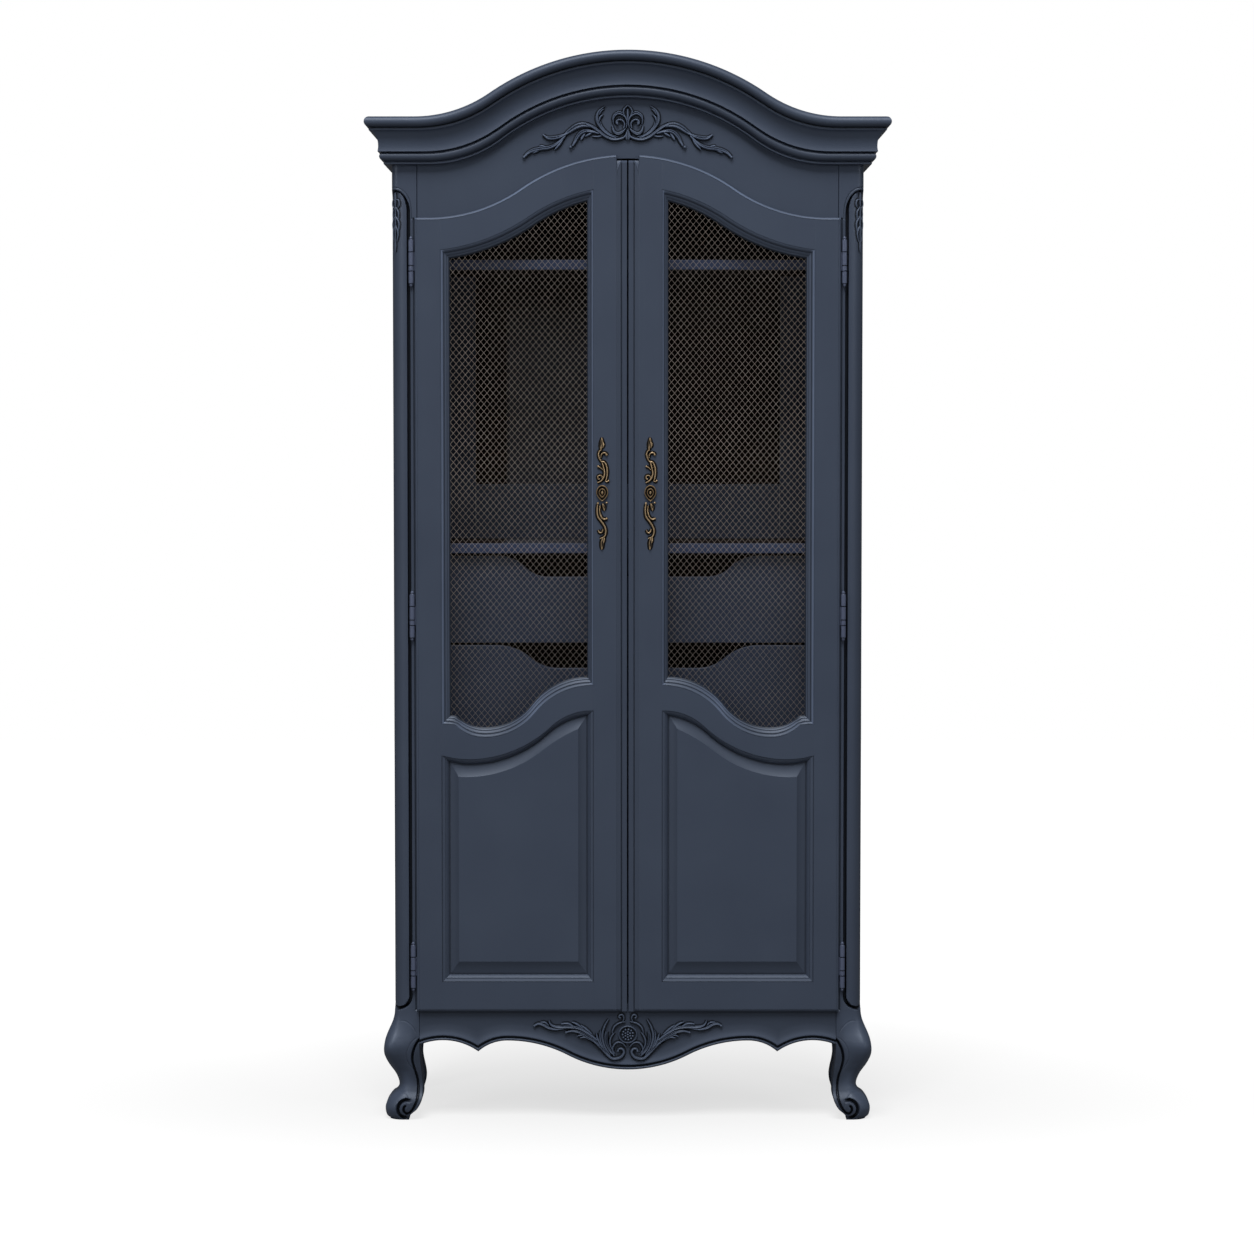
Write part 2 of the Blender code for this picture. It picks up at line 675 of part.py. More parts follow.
def door_mesh(name, side, axis, material):
    """Wire mesh in the upper opening: a bordered sheet with diamond gaps."""
    front = RABBET_FACE + FIT
    back = front + MESH_THICKNESS
    inside = prism(opening_band(side, mesh_foot, mesh_head, RABBET - MESH_BORDER), front - WIRE_WIDTH,
                   back + WIRE_WIDTH)
    to_edge = DIAMOND_WIDTH * DIAMOND_HEIGHT / (2 * math.hypot(DIAMOND_WIDTH, DIAMOND_HEIGHT))
    kept = 1 - WIRE_WIDTH / 2 / to_edge
    wide = DIAMOND_WIDTH / 2 * kept
    tall = DIAMOND_HEIGHT / 2 * kept
    low = MESH_VALLEY
    rows = math.ceil((CROWN_HEIGHT - MESH_TOP.drop - low) / (DIAMOND_HEIGHT / 2))
    columns = math.ceil((STILE_IN - MEETING_IN) / (DIAMOND_WIDTH / 2))
    gaps = bmesh.new()
    for row in range(rows + 1):
        for column in range(row % 2, columns + 1, 2):
            s = MEETING_IN + column * DIAMOND_WIDTH / 2
            z = low + row * DIAMOND_HEIGHT / 2
            if z + tall < mesh_foot(s) or z - tall > mesh_head(s):
                continue
            corners = ((s + wide, z), (s, z + tall), (s - wide, z), (s, z - tall))
            gap = prism([(side * a, b) for a, b in corners], front - WIRE_WIDTH / 2, back + WIRE_WIDTH / 2)
            piece = bpy.data.meshes.new("gap")
            gap.to_mesh(piece)
            gap.free()
            gaps.from_mesh(piece)
            bpy.data.meshes.remove(piece)
    trimmed = combine(solid("gaps", gaps), [inside], "INTERSECT")
    cutter = bmesh.new()
    cutter.from_mesh(trimmed.data)
    bmesh.ops.translate(cutter, verts=cutter.verts, vec=trimmed.location)
    bpy.data.objects.remove(trimmed)
    sheet = prism(opening_band(side, mesh_foot, mesh_head, RABBET - FIT), front, back)
    return combine(solid(name, sheet, material, axis), [cutter], "DIFFERENCE")


def door_handle(name, middle, axis, material):
    """Long pull with a waving stem, leaf ends and a round boss in its middle."""
    rings = []
    back = DOOR_FACE - FIT
    for t in spaced(-1, 1, HANDLE_STATIONS):
        boss = math.exp(-(t / BOSS_SPREAD) ** 2)
        taper = 1 - HANDLE_TAPER * t * t
        half = HANDLE_HALF * taper + HANDLE_BOSS * boss
        out = HANDLE_RELIEF * taper + (HANDLE_BOSS_RELIEF - HANDLE_RELIEF) * boss
        x = middle + HANDLE_SWAY * math.sin(2 * math.pi * t) * (1 - boss)
        z = HANDLE_HEIGHT + t * HANDLE_LENGTH / 2
        arc = [(x + half * math.cos(turn), back - out * math.sin(turn), z)
               for turn in (math.radians(a) for a in (0, 45, 90, 135, 180))]
        rings.append(arc)
    return round_off(solid(name, loft(rings), material, axis))


def circle(centre, radius, z):
    """Ring of points about an upright axis."""
    turns = [2 * math.pi * i / ROUND_SIDES for i in range(ROUND_SIDES)]
    return [(centre[0] + radius * math.cos(a), centre[1] + radius * math.sin(a), z) for a in turns]


def hinge(name, side, middle, axis, material):
    """One hinge: the post half holds the pin, and the door half turns on it."""
    centre = (side * HINGE_AXIS_OUT, HINGE_AXIS_Y)
    half = BARREL_LENGTH / 2
    knuckle = KNUCKLE_LENGTH / 2
    turned = [(half + FINIAL_LENGTH, FINIAL_TIP), (half + FINIAL_LENGTH / 2, FINIAL_BALL), (half, FINIAL_NECK),
              (half, BARREL_RADIUS), (knuckle, BARREL_RADIUS), (knuckle, PIN_RADIUS)]
    profile = [(-z, radius) for z, radius in turned] + [(z, radius) for z, radius in reversed(turned)]
    pin = loft([circle(centre, radius, middle + z) for z, radius in profile])
    post_half = solid(f"{name}_post_half", pin, material)
    thick = BLADE_THICKNESS / 2
    behind = HINGE_AXIS_Y + BARREL_RADIUS + FIT
    reach = FRONT + BLADE_DEPTH
    plate = ((HINGE_AXIS_Y, -half), (reach, -half), (reach, half), (HINGE_AXIS_Y, half),
             (HINGE_AXIS_Y, knuckle + FIT), (behind, knuckle + FIT), (behind, -knuckle - FIT),
             (HINGE_AXIS_Y, -knuckle - FIT))
    outline = [(y, middle + z) for y, z in plate]
    combine(post_half, [prism(outline, centre[0] - thick, centre[0] + thick, "x")], "UNION")
    round_off(post_half)
    short = knuckle - FIT
    walls = ((BARREL_RADIUS, -short), (BARREL_RADIUS, short), (BORE_RADIUS, short), (BORE_RADIUS, -short))
    sleeve = loft([circle(centre, radius, middle + z) for radius, z in walls], closed=True)
    door_half = solid(f"{name}_door_half", sleeve, material, axis)
    root = side * (HINGE_AXIS_OUT - (BARREL_RADIUS + BORE_RADIUS) / 2)
    tip = side * (HINGE_AXIS_OUT - BLADE_DEPTH)
    blade = block((root, HINGE_AXIS_Y - thick, middle - short), (tip, HINGE_AXIS_Y + thick, middle + short))
    combine(door_half, [blade], "UNION")
    return round_off(door_half)


def drawer_levels():
    """Names, undersides and scoop depths of the two trays, from the shelf down."""
    upper = LOWER_SHELF - DRAWER_TOP_GAP - DRAWER_HEIGHT
    lower = upper - DRAWER_GAP - DRAWER_HEIGHT
    return (("upper_drawer", upper, SCOOP_DEPTHS[0]), ("lower_drawer", lower, SCOOP_DEPTHS[1]))


def drawer_guide(name, side, material):
    """Board fixed to the posts, with a ledge under each tray."""
    top = LOWER_SHELF - FIT
    ledge = side * (GUIDE_IN - LEDGE_OUT)
    face = side * GUIDE_IN
    outline = [(side * (OPENING_HALF - FIT), top), (face, top)]
    for _, bottom, _ in drawer_levels():
        outline += [(face, bottom - FIT), (ledge, bottom - FIT), (ledge, bottom - FIT - LEDGE_HEIGHT),
                    (face, bottom - FIT - LEDGE_HEIGHT)]
    low = drawer_levels()[-1][1] - FIT - LEDGE_HEIGHT
    outline = outline[:-1] + [(side * (OPENING_HALF - FIT), low)]
    guide = solid(name, prism(outline, FRONT + GUIDE_SETBACK, BACK_FACE - FIT), material)
    clear = DRAWER_FACE + DRAWER_FRONT_THICKNESS + DRAWER_CLEAR
    relief = block((ledge - side * CUT_PAST, FRONT, 0), (face, clear, CROWN_HEIGHT))
    return combine(guide, [relief], "DIFFERENCE")


def drawer_top(x, top, depth):
    """Upper edge of a tray's front, scooped down in the middle."""
    run = abs(x) - (SCOOP_HALF - SCOOP_RUN)
    if run <= 0:
        return top - depth
    return top - ogee(run, depth, 0, SCOOP_RUN, SCOOP_SHARE)


def drawer(name, bottom, depth, material, inside):
    """A tray of five boards that slides on the guides' ledges."""
    centre = bpy.data.objects.new(f"{name}_slide", None)
    centre.location = (0, DRAWER_FACE, bottom)
    bpy.context.collection.objects.link(centre)
    top = bottom + DRAWER_HEIGHT
    behind = DRAWER_FACE + DRAWER_FRONT_THICKNESS
    rear = BACK_FACE - DRAWER_BACK_GAP
    side_top = top - DRAWER_SIDE_DROP
    slope = spaced(SCOOP_HALF - SCOOP_RUN, SCOOP_HALF, SCOOP_STATIONS)
    right = [(x, drawer_top(x, top, depth)) for x in slope] + [(DRAWER_HALF, top), (DRAWER_HALF, bottom)]
    outline = right + [(-x, z) for x, z in reversed(right)]
    solid(f"{name}_front", prism(outline, DRAWER_FACE, behind), material, centre)
    inner = DRAWER_HALF - DRAWER_SIDE_THICKNESS
    for word, side in SIDES:
        solid(f"{name}_side_{word}", block((side * inner, behind + FIT, bottom),
                                           (side * DRAWER_HALF, rear, side_top)), inside, centre)
    wide = inner - FIT
    solid(f"{name}_back", block((-wide, rear - DRAWER_SIDE_THICKNESS, bottom), (wide, rear, side_top)),
          inside, centre)
    low = bottom + DRAWER_BOTTOM_RISE
    solid(f"{name}_bottom", block((-wide, behind + FIT, low),
                                  (wide, rear - DRAWER_SIDE_THICKNESS - FIT, low + DRAWER_BOTTOM_THICKNESS)),
          inside, centre)


def build_case(paint, inside):
    """Posts, boards, rails, cornice and carvings."""
    for word, side in SIDES:
        front_post(f"front_post_{word}", side, paint)
        rear_post(f"rear_post_{word}", side, paint)
        side_panel(f"side_panel_{word}", side, paint)
        side_apron(f"side_apron_{word}", side, paint)
        cornice_return(f"cornice_{word}", side, paint)
        drawer_guide(f"drawer_guide_{word}", side, paint)
    half = OPENING_HALF - FIT
    solid("back_panel", block((-half, BACK_FACE, BACK_BOTTOM),
                              (half, BACK_FACE + BACK_THICKNESS, POST_TOP)), inside)
    for name, low, thickness, front in decks():
        solid(name, prism(deck_outline(front), low, low + thickness, "z"), paint)
    frieze("frieze", paint)
    apron("apron", paint)
    cornice_front("cornice_front", paint)
    carving("frieze_carving", FRONT, FRIEZE_CARVING, paint)
    carving("apron_carving", FRONT, APRON_CARVING, paint)


def build_doors(paint, iron, brass, wire):
    """Both doors with their hinges, meshes and handles."""
    for word, side in SIDES:
        axis = door_axis(f"{word}_door_axis", side)
        name = f"{word}_door"
        door_frame(name, side, axis, paint)
        door_panel(f"{name}_panel", side, axis, paint)
        door_mesh(f"{name}_mesh", side, axis, wire)
        door_handle(f"{name}_handle", {-1: -LEFT_HANDLE_IN, 1: RIGHT_HANDLE_IN}[side], axis, brass)
        for place, middle in hinge_heights():
            hinge(f"{word}_{place}_hinge", side, middle, axis, iron)


def build():
    """Make every piece of the hutch."""
    clear_scene()
    paint = finish("slate_blue_paint", (0.050, 0.061, 0.091), 0.42, 0.0)
    inside = finish("dark_stained_board", (0.017, 0.012, 0.008), 0.55, 0.0)
    iron = finish("painted_iron", (0.058, 0.068, 0.098), 0.38, 0.0)
    brass = finish("aged_brass", (0.145, 0.098, 0.045), 0.42, 1.0)
    wire = finish("bronze_wire", (0.120, 0.085, 0.050), 0.45, 1.0)
    build_case(paint, inside)
    build_doors(paint, iron, brass, wire)
    for name, bottom, depth in drawer_levels():
        drawer(name, bottom, depth, paint, inside)


build()
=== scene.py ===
import json
import math
from collections import namedtuple

import bmesh
import bpy
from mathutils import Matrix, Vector
from mathutils.kdtree import KDTree

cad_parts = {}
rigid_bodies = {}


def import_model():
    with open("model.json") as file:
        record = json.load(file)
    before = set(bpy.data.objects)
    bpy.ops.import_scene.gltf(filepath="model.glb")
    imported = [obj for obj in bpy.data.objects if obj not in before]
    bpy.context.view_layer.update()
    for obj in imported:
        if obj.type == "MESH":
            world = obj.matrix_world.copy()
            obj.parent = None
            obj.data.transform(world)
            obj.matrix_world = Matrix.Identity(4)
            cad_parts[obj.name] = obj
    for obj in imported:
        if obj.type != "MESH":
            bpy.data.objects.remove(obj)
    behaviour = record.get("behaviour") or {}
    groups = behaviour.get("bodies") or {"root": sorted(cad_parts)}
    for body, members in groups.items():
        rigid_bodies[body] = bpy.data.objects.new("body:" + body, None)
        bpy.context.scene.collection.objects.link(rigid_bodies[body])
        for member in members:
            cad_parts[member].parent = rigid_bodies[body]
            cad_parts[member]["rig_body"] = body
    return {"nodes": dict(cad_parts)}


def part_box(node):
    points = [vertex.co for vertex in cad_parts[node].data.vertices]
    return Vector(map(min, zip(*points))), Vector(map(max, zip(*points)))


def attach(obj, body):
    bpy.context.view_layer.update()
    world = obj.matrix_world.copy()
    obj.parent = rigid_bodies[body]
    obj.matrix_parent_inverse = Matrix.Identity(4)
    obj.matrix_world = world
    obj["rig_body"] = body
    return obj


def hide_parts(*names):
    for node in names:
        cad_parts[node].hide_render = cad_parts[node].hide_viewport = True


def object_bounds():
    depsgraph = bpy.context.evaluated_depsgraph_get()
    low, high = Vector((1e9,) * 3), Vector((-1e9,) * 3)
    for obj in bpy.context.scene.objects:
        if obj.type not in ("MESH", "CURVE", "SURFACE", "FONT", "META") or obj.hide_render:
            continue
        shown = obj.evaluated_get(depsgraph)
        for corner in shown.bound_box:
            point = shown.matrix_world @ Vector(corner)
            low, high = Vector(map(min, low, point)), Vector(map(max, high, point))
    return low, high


# Looks of the painted armoire hutch: its pieces, finishes, light and camera
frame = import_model()
cad_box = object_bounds()

MM = 0.001
# Gap between pieces that meet, and distances at which points of a new mesh and of a frame node are merged
FIT = 0.3 * MM
MERGE = 0.001 * MM
NODE_MERGE = 0.02 * MM
SIDES = (("left", -1), ("right", 1))

# Places read from the frame: x across, y from front to back, z up, on the right half
CROWN = cad_box[1].z
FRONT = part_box("apron")[0].y
BOARD_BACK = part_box("apron")[1].y
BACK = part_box("rear_post_right")[1].y
REAR_FRONT = BACK - 45 * MM
BODY_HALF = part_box("side_panel_right")[1].x
OPENING_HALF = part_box("apron")[1].x + FIT
POST_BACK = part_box("side_panel_right")[0].y - FIT
POST_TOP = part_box("side_panel_right")[1].z
DECK_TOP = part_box("apron")[1].z
DOOR_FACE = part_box("right_door_top_rail")[0].y
DOOR_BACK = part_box("right_door_top_rail")[1].y
DOOR_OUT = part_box("right_door_hinge_stile")[1].x
DOOR_BOTTOM = DECK_TOP - 14 * MM
MEETING_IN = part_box("right_door_meeting_stile")[1].x
STILE_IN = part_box("right_door_hinge_stile")[0].x
MESH_FRONT, MESH_BACK = (corner.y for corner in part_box("right_door_mesh"))
RABBET_FACE = MESH_FRONT - FIT

# Arched lines: crown below the cornice's crown, rise, half width, share of the crown arc
Arch = namedtuple("Arch", "drop rise reach share")
CORNICE_TOP = Arch(0.000, 0.1375, 0.4438, 0.649)
CORNICE_FOOT = Arch(0.0965, 0.1385, 0.4143, 0.634)
DOOR_TOP = Arch(0.214, 0.1308, 0.4177, 0.534)
MOULDING_TOP = Arch(0.2791, 0.1348, 0.4374, 0.476)
MESH_TOP = Arch(0.300, 0.1340, 0.4328, 0.452)

# Curves of the mid rail: heights of valley, crest and shoulder, places of valley and crest, share of the
# crest's arc, radius of the valley's outer arc
Wave = namedtuple("Wave", "valley crest shoulder valley_at crest_at share radius")
MESH_FOOT = Wave(0.8336, 0.9406, 0.8588, 0.3016, 0.0854, 0.54, 0.085)
RAIL_TOP = Wave(0.8124, 0.9224, 0.8405, 0.3016, 0.0719, 0.54, 0.085)
RAIL_FOOT = Wave(0.7674, 0.8704, 0.7753, 0.3363, 0.0763, 0.33, 0.180)
PANEL_HEAD = Wave(0.7543, 0.8607, 0.7594, 0.3335, 0.0576, 0.42, 0.120)
FIELD_HEAD = Wave(0.7295, 0.8592, 0.7302, 0.3410, -0.0293, 0.565, 0.120)
CURVE_STEPS = 48


def ogee(x, crown, spring, reach, share):
    """Height of an arch of two tangent arcs at a distance x from its crown."""
    x = min(abs(x), reach)
    turn = 2 * math.atan2(crown - spring, reach)
    radii = reach / math.sin(turn)
    crown_radius = share * radii
    if x <= crown_radius * math.sin(turn):
        return crown - crown_radius + math.sqrt(crown_radius ** 2 - x ** 2)
    spring_radius = radii - crown_radius
    return spring + spring_radius - math.sqrt(spring_radius ** 2 - (reach - x) ** 2)


def arched(arch, x):
    """Height of one of the arched lines at x."""
    crown = CROWN - arch.drop
    return ogee(x, crown, crown - arch.rise, arch.reach, arch.share)


def waved(wave, s):
    """Height of one of the mid rail's curves at a distance s from the cabinet's centre."""
    s = max(s, wave.crest_at)
    if s > wave.valley_at:
        run = min(s - wave.valley_at, wave.radius)
        return min(wave.shoulder, wave.valley + wave.radius - math.sqrt(wave.radius ** 2 - run ** 2))
    return ogee(s - wave.crest_at, wave.crest, wave.valley, wave.valley_at - wave.crest_at, wave.share)


def door_head(s):
    """Upper edge of the doors."""
    return arched(DOOR_TOP, s)


def spaced(start, stop, count):
    """Evenly spaced values from start to stop, both included."""
    return [start + (stop - start) * i / count for i in range(count + 1)]


def ease(low, high, value):
    """Smooth step from 0 at low to 1 at high."""
    t = min(1, max(0, (value - low) / (high - low)))
    return t * t * (3 - 2 * t)


def along(profile, distance):
    """Depth of a moulded profile, given in millimetres, at a distance in metres."""
    far = distance / MM
    if far <= profile[0][0]:
        return profile[0][1] * MM
    for (start, depth, *_), (stop, deeper, *_) in zip(profile, profile[1:]):
        if far <= stop:
            return (depth + (deeper - depth) * (far - start) / (stop - start)) * MM
    return profile[-1][1] * MM


def knot_line(knots, z):
    """Smooth line through (height, distance) knots in millimetres, level at both ends."""
    z /= MM
    if z >= knots[-1][0]:
        return knots[-1][1] * MM
    last = len(knots) - 1
    k = max(i for i in range(last) if knots[i][0] <= max(z, 0))
    slopes = [0.0] * (last + 1)
    for i in range(1, last):
        slopes[i] = (knots[i + 1][1] - knots[i - 1][1]) / (knots[i + 1][0] - knots[i - 1][0])
    (low_z, low), (high_z, high) = knots[k], knots[k + 1]
    span = high_z - low_z
    t = (z - low_z) / span
    ends = low * (1 + 2 * t) * (1 - t) ** 2 + high * t * t * (3 - 2 * t)
    return (ends + span * (slopes[k] * t * (1 - t) ** 2 - slopes[k + 1] * t * t * (1 - t))) * MM


def spline(points, steps):
    """Smooth run of points through the given ones, with a number of steps between each two."""
    knots = [Vector(point) for point in points]
    knots = [2 * knots[0] - knots[1]] + knots + [2 * knots[-1] - knots[-2]]
    run = []
    for before, start, stop, after in zip(knots, knots[1:], knots[2:], knots[3:]):
        for t in spaced(0, 1, steps)[:-1]:
            bend = (2 * before - 5 * start + 4 * stop - after) * t * t
            turn = (3 * start - before - 3 * stop + after) * t ** 3
            run.append((2 * start + (stop - before) * t + bend + turn) / 2)
    return run + [knots[-2]]


def loft(rings, capped=True):
    """Skin over a run of closed rings of equal count."""
    count = len(rings[0])
    points = [point for ring in rings for point in ring]
    faces = []
    for start in range(0, len(points) - count, count):
        for i in range(count):
            j = (i + 1) % count
            faces.append((start + i, start + j, start + count + j, start + count + i))
    if capped:
        faces.append(tuple(range(count))[::-1])
        faces.append(tuple(range(len(points) - count, len(points))))
    return points, faces


# Finishes


def linear(colour):
    """Linear RGBA of an sRGB hex colour."""
    parts = [int(colour[i:i + 2], 16) / 255 for i in (1, 3, 5)]
    return (*[c / 12.92 if c <= 0.04045 else ((c + 0.055) / 1.055) ** 2.4 for c in parts], 1.0)


def per(size):
    """Texture scale whose pattern has a size in millimetres."""
    return 1 / (size * MM)


def add(tree, kind, links=(), **settings):
    """Add a node; links sets its inputs, each to a value or to another node's output."""
    node = tree.nodes.new(kind)
    for key, value in settings.items():
        setattr(node, key, value)
    for key, value in dict(links).items():
        if isinstance(value, bpy.types.NodeSocket):
            tree.links.new(value, node.inputs[key])
        else:
            node.inputs[key].default_value = value
    return node


# Socket numbers of a Mix node's two colours and of its result
MIX_A, MIX_B, MIX_OUT = 6, 7, 2


def finish(name):
    """A new material with its node tree, its shader and the place on the object."""
    material = bpy.data.materials.new(name)
    material.use_nodes = True
    tree = material.node_tree
    place = add(tree, "ShaderNodeTexCoord").outputs["Object"]
    return material, tree, tree.nodes["Principled BSDF"], place


# Satin paint: size in millimetres of its clouds and brush lines, scale of the pattern along the lines, how far the
# roughness varies, and what the painted shade and highlight make of the tone in hollows and on ridges
CLOUD = 170
BRUSH = 2.4
BRUSH_ALONG = 0.02
ROUGHNESS_SPREAD = 0.07
PAINTED_SHADE_RANGE = (0.14, 1.53)


def slate_blue_paint(name, dark, light, roughness, carved=False):
    """Alkyd satin paint brushed on sanded poplar: cloudy tone, faint upright brush lines, soft sheen."""
    material, tree, shader, place = finish(name)
    cloud = add(tree, "ShaderNodeTexNoise", {"Vector": place, "Scale": per(CLOUD), "Detail": 4.0})
    tone = add(tree, "ShaderNodeMix", {0: cloud.outputs["Fac"], MIX_A: linear(dark), MIX_B: linear(light)},
               data_type="RGBA")
    colour = tone.outputs[MIX_OUT]
    if carved:
        # The height attribute paints shade into hollows and shaded faces, and highlights onto ridges and lit faces
        height = add(tree, "ShaderNodeAttribute", attribute_name="height").outputs["Fac"]
        shade = add(tree, "ShaderNodeMapRange", {"Value": height, "To Min": PAINTED_SHADE_RANGE[0], "To Max": PAINTED_SHADE_RANGE[1]},
                    clamp=False)
        toned = add(tree, "ShaderNodeVectorMath", {0: colour, 1: shade.outputs[0]}, operation="MULTIPLY")
        colour = toned.outputs[0]
    tree.links.new(colour, shader.inputs["Base Color"])
    # Brush lines 2.4 mm wide and 120 mm long, drawn coarser than real ones so that they show
    strokes = add(tree, "ShaderNodeMapping", {"Vector": place, "Scale": (1, 1, BRUSH_ALONG)})
    brush = add(tree, "ShaderNodeTexNoise", {"Vector": strokes.outputs[0], "Scale": per(BRUSH), "Detail": 3.0})
    sheen = add(tree, "ShaderNodeMapRange", {"Value": brush.outputs["Fac"], "To Min": roughness - ROUGHNESS_SPREAD,
                                             "To Max": roughness + ROUGHNESS_SPREAD})
    tree.links.new(sheen.outputs[0], shader.inputs["Roughness"])
    # The pigment tints the sheen a little
    shader.inputs["Specular IOR Level"].default_value = 0.45
    shader.inputs["Specular Tint"].default_value = linear("#e1edff")
    bump = add(tree, "ShaderNodeBump", {"Height": brush.outputs["Fac"], "Strength": 0.12, "Distance": 0.3 * MM})
    tree.links.new(bump.outputs[0], shader.inputs["Normal"])
    return material


# Painted pool of light on the back: the axis across each of its edges, and where the edge starts and ends in metres
PAINTED_LIGHT_PATCH = (("X", -0.272, -0.258), ("X", -0.080, -0.090), ("Z", 1.205, 1.215), ("Z", 1.790, 1.600))
# Wood grain: width in millimetres, and scale of the pattern along it
GRAIN = 7
GRAIN_ALONG = 0.06


def dark_stained_board():
    """Thin poplar board with a dark brown stain: fine upright grain, dull, only thinly stained behind."""
    material, tree, shader, place = finish("dark_stained_board")
    stretched = add(tree, "ShaderNodeMapping", {"Vector": place, "Scale": (1, 1, GRAIN_ALONG)})
    grain = add(tree, "ShaderNodeTexNoise", {"Vector": stretched.outputs[0], "Scale": per(GRAIN), "Detail": 6.0,
                                             "Distortion": 0.6})
    # Near-black stain: a dark brown stain, made darker still as painted shade of the case's inside
    tone = add(tree, "ShaderNodeMix", {0: grain.outputs["Fac"], MIX_A: linear("#070403"), MIX_B: linear("#110a07")},
               data_type="RGBA")
    # Painted light: a paler grey-blue pool on the back between the shelves, behind the left door
    spot = add(tree, "ShaderNodeSeparateXYZ", {0: place}).outputs
    edges = [add(tree, "ShaderNodeMapRange", {"Value": spot[axis], "From Min": start, "From Max": stop},
                 interpolation_type="SMOOTHSTEP")
             for axis, start, stop in PAINTED_LIGHT_PATCH]
    share = edges[0].outputs[0]
    for edge in edges[1:]:
        share = add(tree, "ShaderNodeMath", {0: share, 1: edge.outputs[0]}, operation="MULTIPLY").outputs[0]
    tone = add(tree, "ShaderNodeMix", {0: share, MIX_A: tone.outputs[MIX_OUT], MIX_B: linear("#30333b")},
               data_type="RGBA")
    thin = add(tree, "ShaderNodeMix", {0: grain.outputs["Fac"], MIX_A: linear("#6e5a45"), MIX_B: linear("#917a5e")},
               data_type="RGBA")
    # Faces that look backwards
    way = add(tree, "ShaderNodeNewGeometry").outputs["Normal"]
    behind = add(tree, "ShaderNodeSeparateXYZ", {0: way}).outputs["Y"]
    outside = add(tree, "ShaderNodeMapRange", {"Value": behind, "From Min": 0.5, "From Max": 0.9})
    whole = add(tree, "ShaderNodeMix", {
        0: outside.outputs[0], MIX_A: tone.outputs[MIX_OUT], MIX_B: thin.outputs[MIX_OUT]}, data_type="RGBA")
    tree.links.new(whole.outputs[MIX_OUT], shader.inputs["Base Color"])
    shader.inputs["Roughness"].default_value = 0.8
    shader.inputs["Specular IOR Level"].default_value = 0.04
    bump = add(tree, "ShaderNodeBump", {"Height": grain.outputs["Fac"], "Strength": 0.2, "Distance": 0.3 * MM})
    tree.links.new(bump.outputs[0], shader.inputs["Normal"])
    return material


def aged_brass():
    """Cast brass with a brown patina that is worn bright on the ridges."""
    material, tree, shader, place = finish("aged_brass")
    height = add(tree, "ShaderNodeAttribute", attribute_name="height").outputs["Fac"]
    cloud = add(tree, "ShaderNodeTexNoise", {"Vector": place, "Scale": per(6), "Detail": 4.0})
    mottled = add(tree, "ShaderNodeMath", {0: cloud.outputs["Fac"], 1: -0.3, 2: height},
                  operation="MULTIPLY_ADD")
    worn = add(tree, "ShaderNodeMapRange", {"Value": mottled.outputs[0], "From Min": 0.2, "From Max": 0.85})
    tone = add(tree, "ShaderNodeMix", {0: worn.outputs[0], MIX_A: linear("#120e0a"), MIX_B: linear("#b79d7a")},
               data_type="RGBA")
    tree.links.new(tone.outputs[MIX_OUT], shader.inputs["Base Color"])
    dull = add(tree, "ShaderNodeMapRange", {"Value": worn.outputs[0], "To Min": 0.6, "To Max": 0.34})
    tree.links.new(dull.outputs[0], shader.inputs["Roughness"])
    shader.inputs["Metallic"].default_value = 0.6
    return material


# Painted shade on the wire, darker low down and towards the top: heights where it starts and stops, in metres,
# and the tone there
WIRE_SHADE_BANDS = ((1.0, 1.4, 0.5, 1.0), (1.42, 1.74, 1.0, 0.72))


def bronze_wire():
    """Drawn bronze wire with a brown tarnish in patches along it, and painted shade low down and towards the top."""
    material, tree, shader, place = finish("bronze_wire")
    cloud = add(tree, "ShaderNodeTexNoise", {"Vector": place, "Scale": per(30), "Detail": 3.0})
    tone = add(tree, "ShaderNodeMix", {0: cloud.outputs["Fac"], MIX_A: linear("#988d86"), MIX_B: linear("#d8cdc4")},
               data_type="RGBA")
    up = add(tree, "ShaderNodeSeparateXYZ", {0: place}).outputs["Z"]
    low, high = (add(tree, "ShaderNodeMapRange", {"Value": up, "From Min": start, "From Max": stop,
                                                  "To Min": first, "To Max": last}).outputs[0]
                 for start, stop, first, last in WIRE_SHADE_BANDS)
    bright = add(tree, "ShaderNodeMath", {0: low, 1: high}, operation="MULTIPLY").outputs[0]
    toned = add(tree, "ShaderNodeVectorMath", {0: tone.outputs[MIX_OUT], 1: bright}, operation="MULTIPLY")
    tree.links.new(toned.outputs[0], shader.inputs["Base Color"])
    shader.inputs["Metallic"].default_value = 0.75
    shader.inputs["Roughness"].default_value = 0.42
    return material


# Height value of plain faces beside carved ones, where hollows are 0 and ridges 1; lower values are painted shade,
# higher ones painted highlight; and the depth of a whole hollow
LEVEL = 0.62
HOLLOW_DEPTH = 5 * MM
Finish = namedtuple("Finish", "material slot")
PAINT = Finish(slate_blue_paint("slate_blue_paint", "#384050", "#414a5a", 0.48), "slate_blue_paint")
CARVED = Finish(slate_blue_paint("carved_slate_blue_paint", "#384050", "#414a5a", 0.46, carved=True),
                "slate_blue_paint")
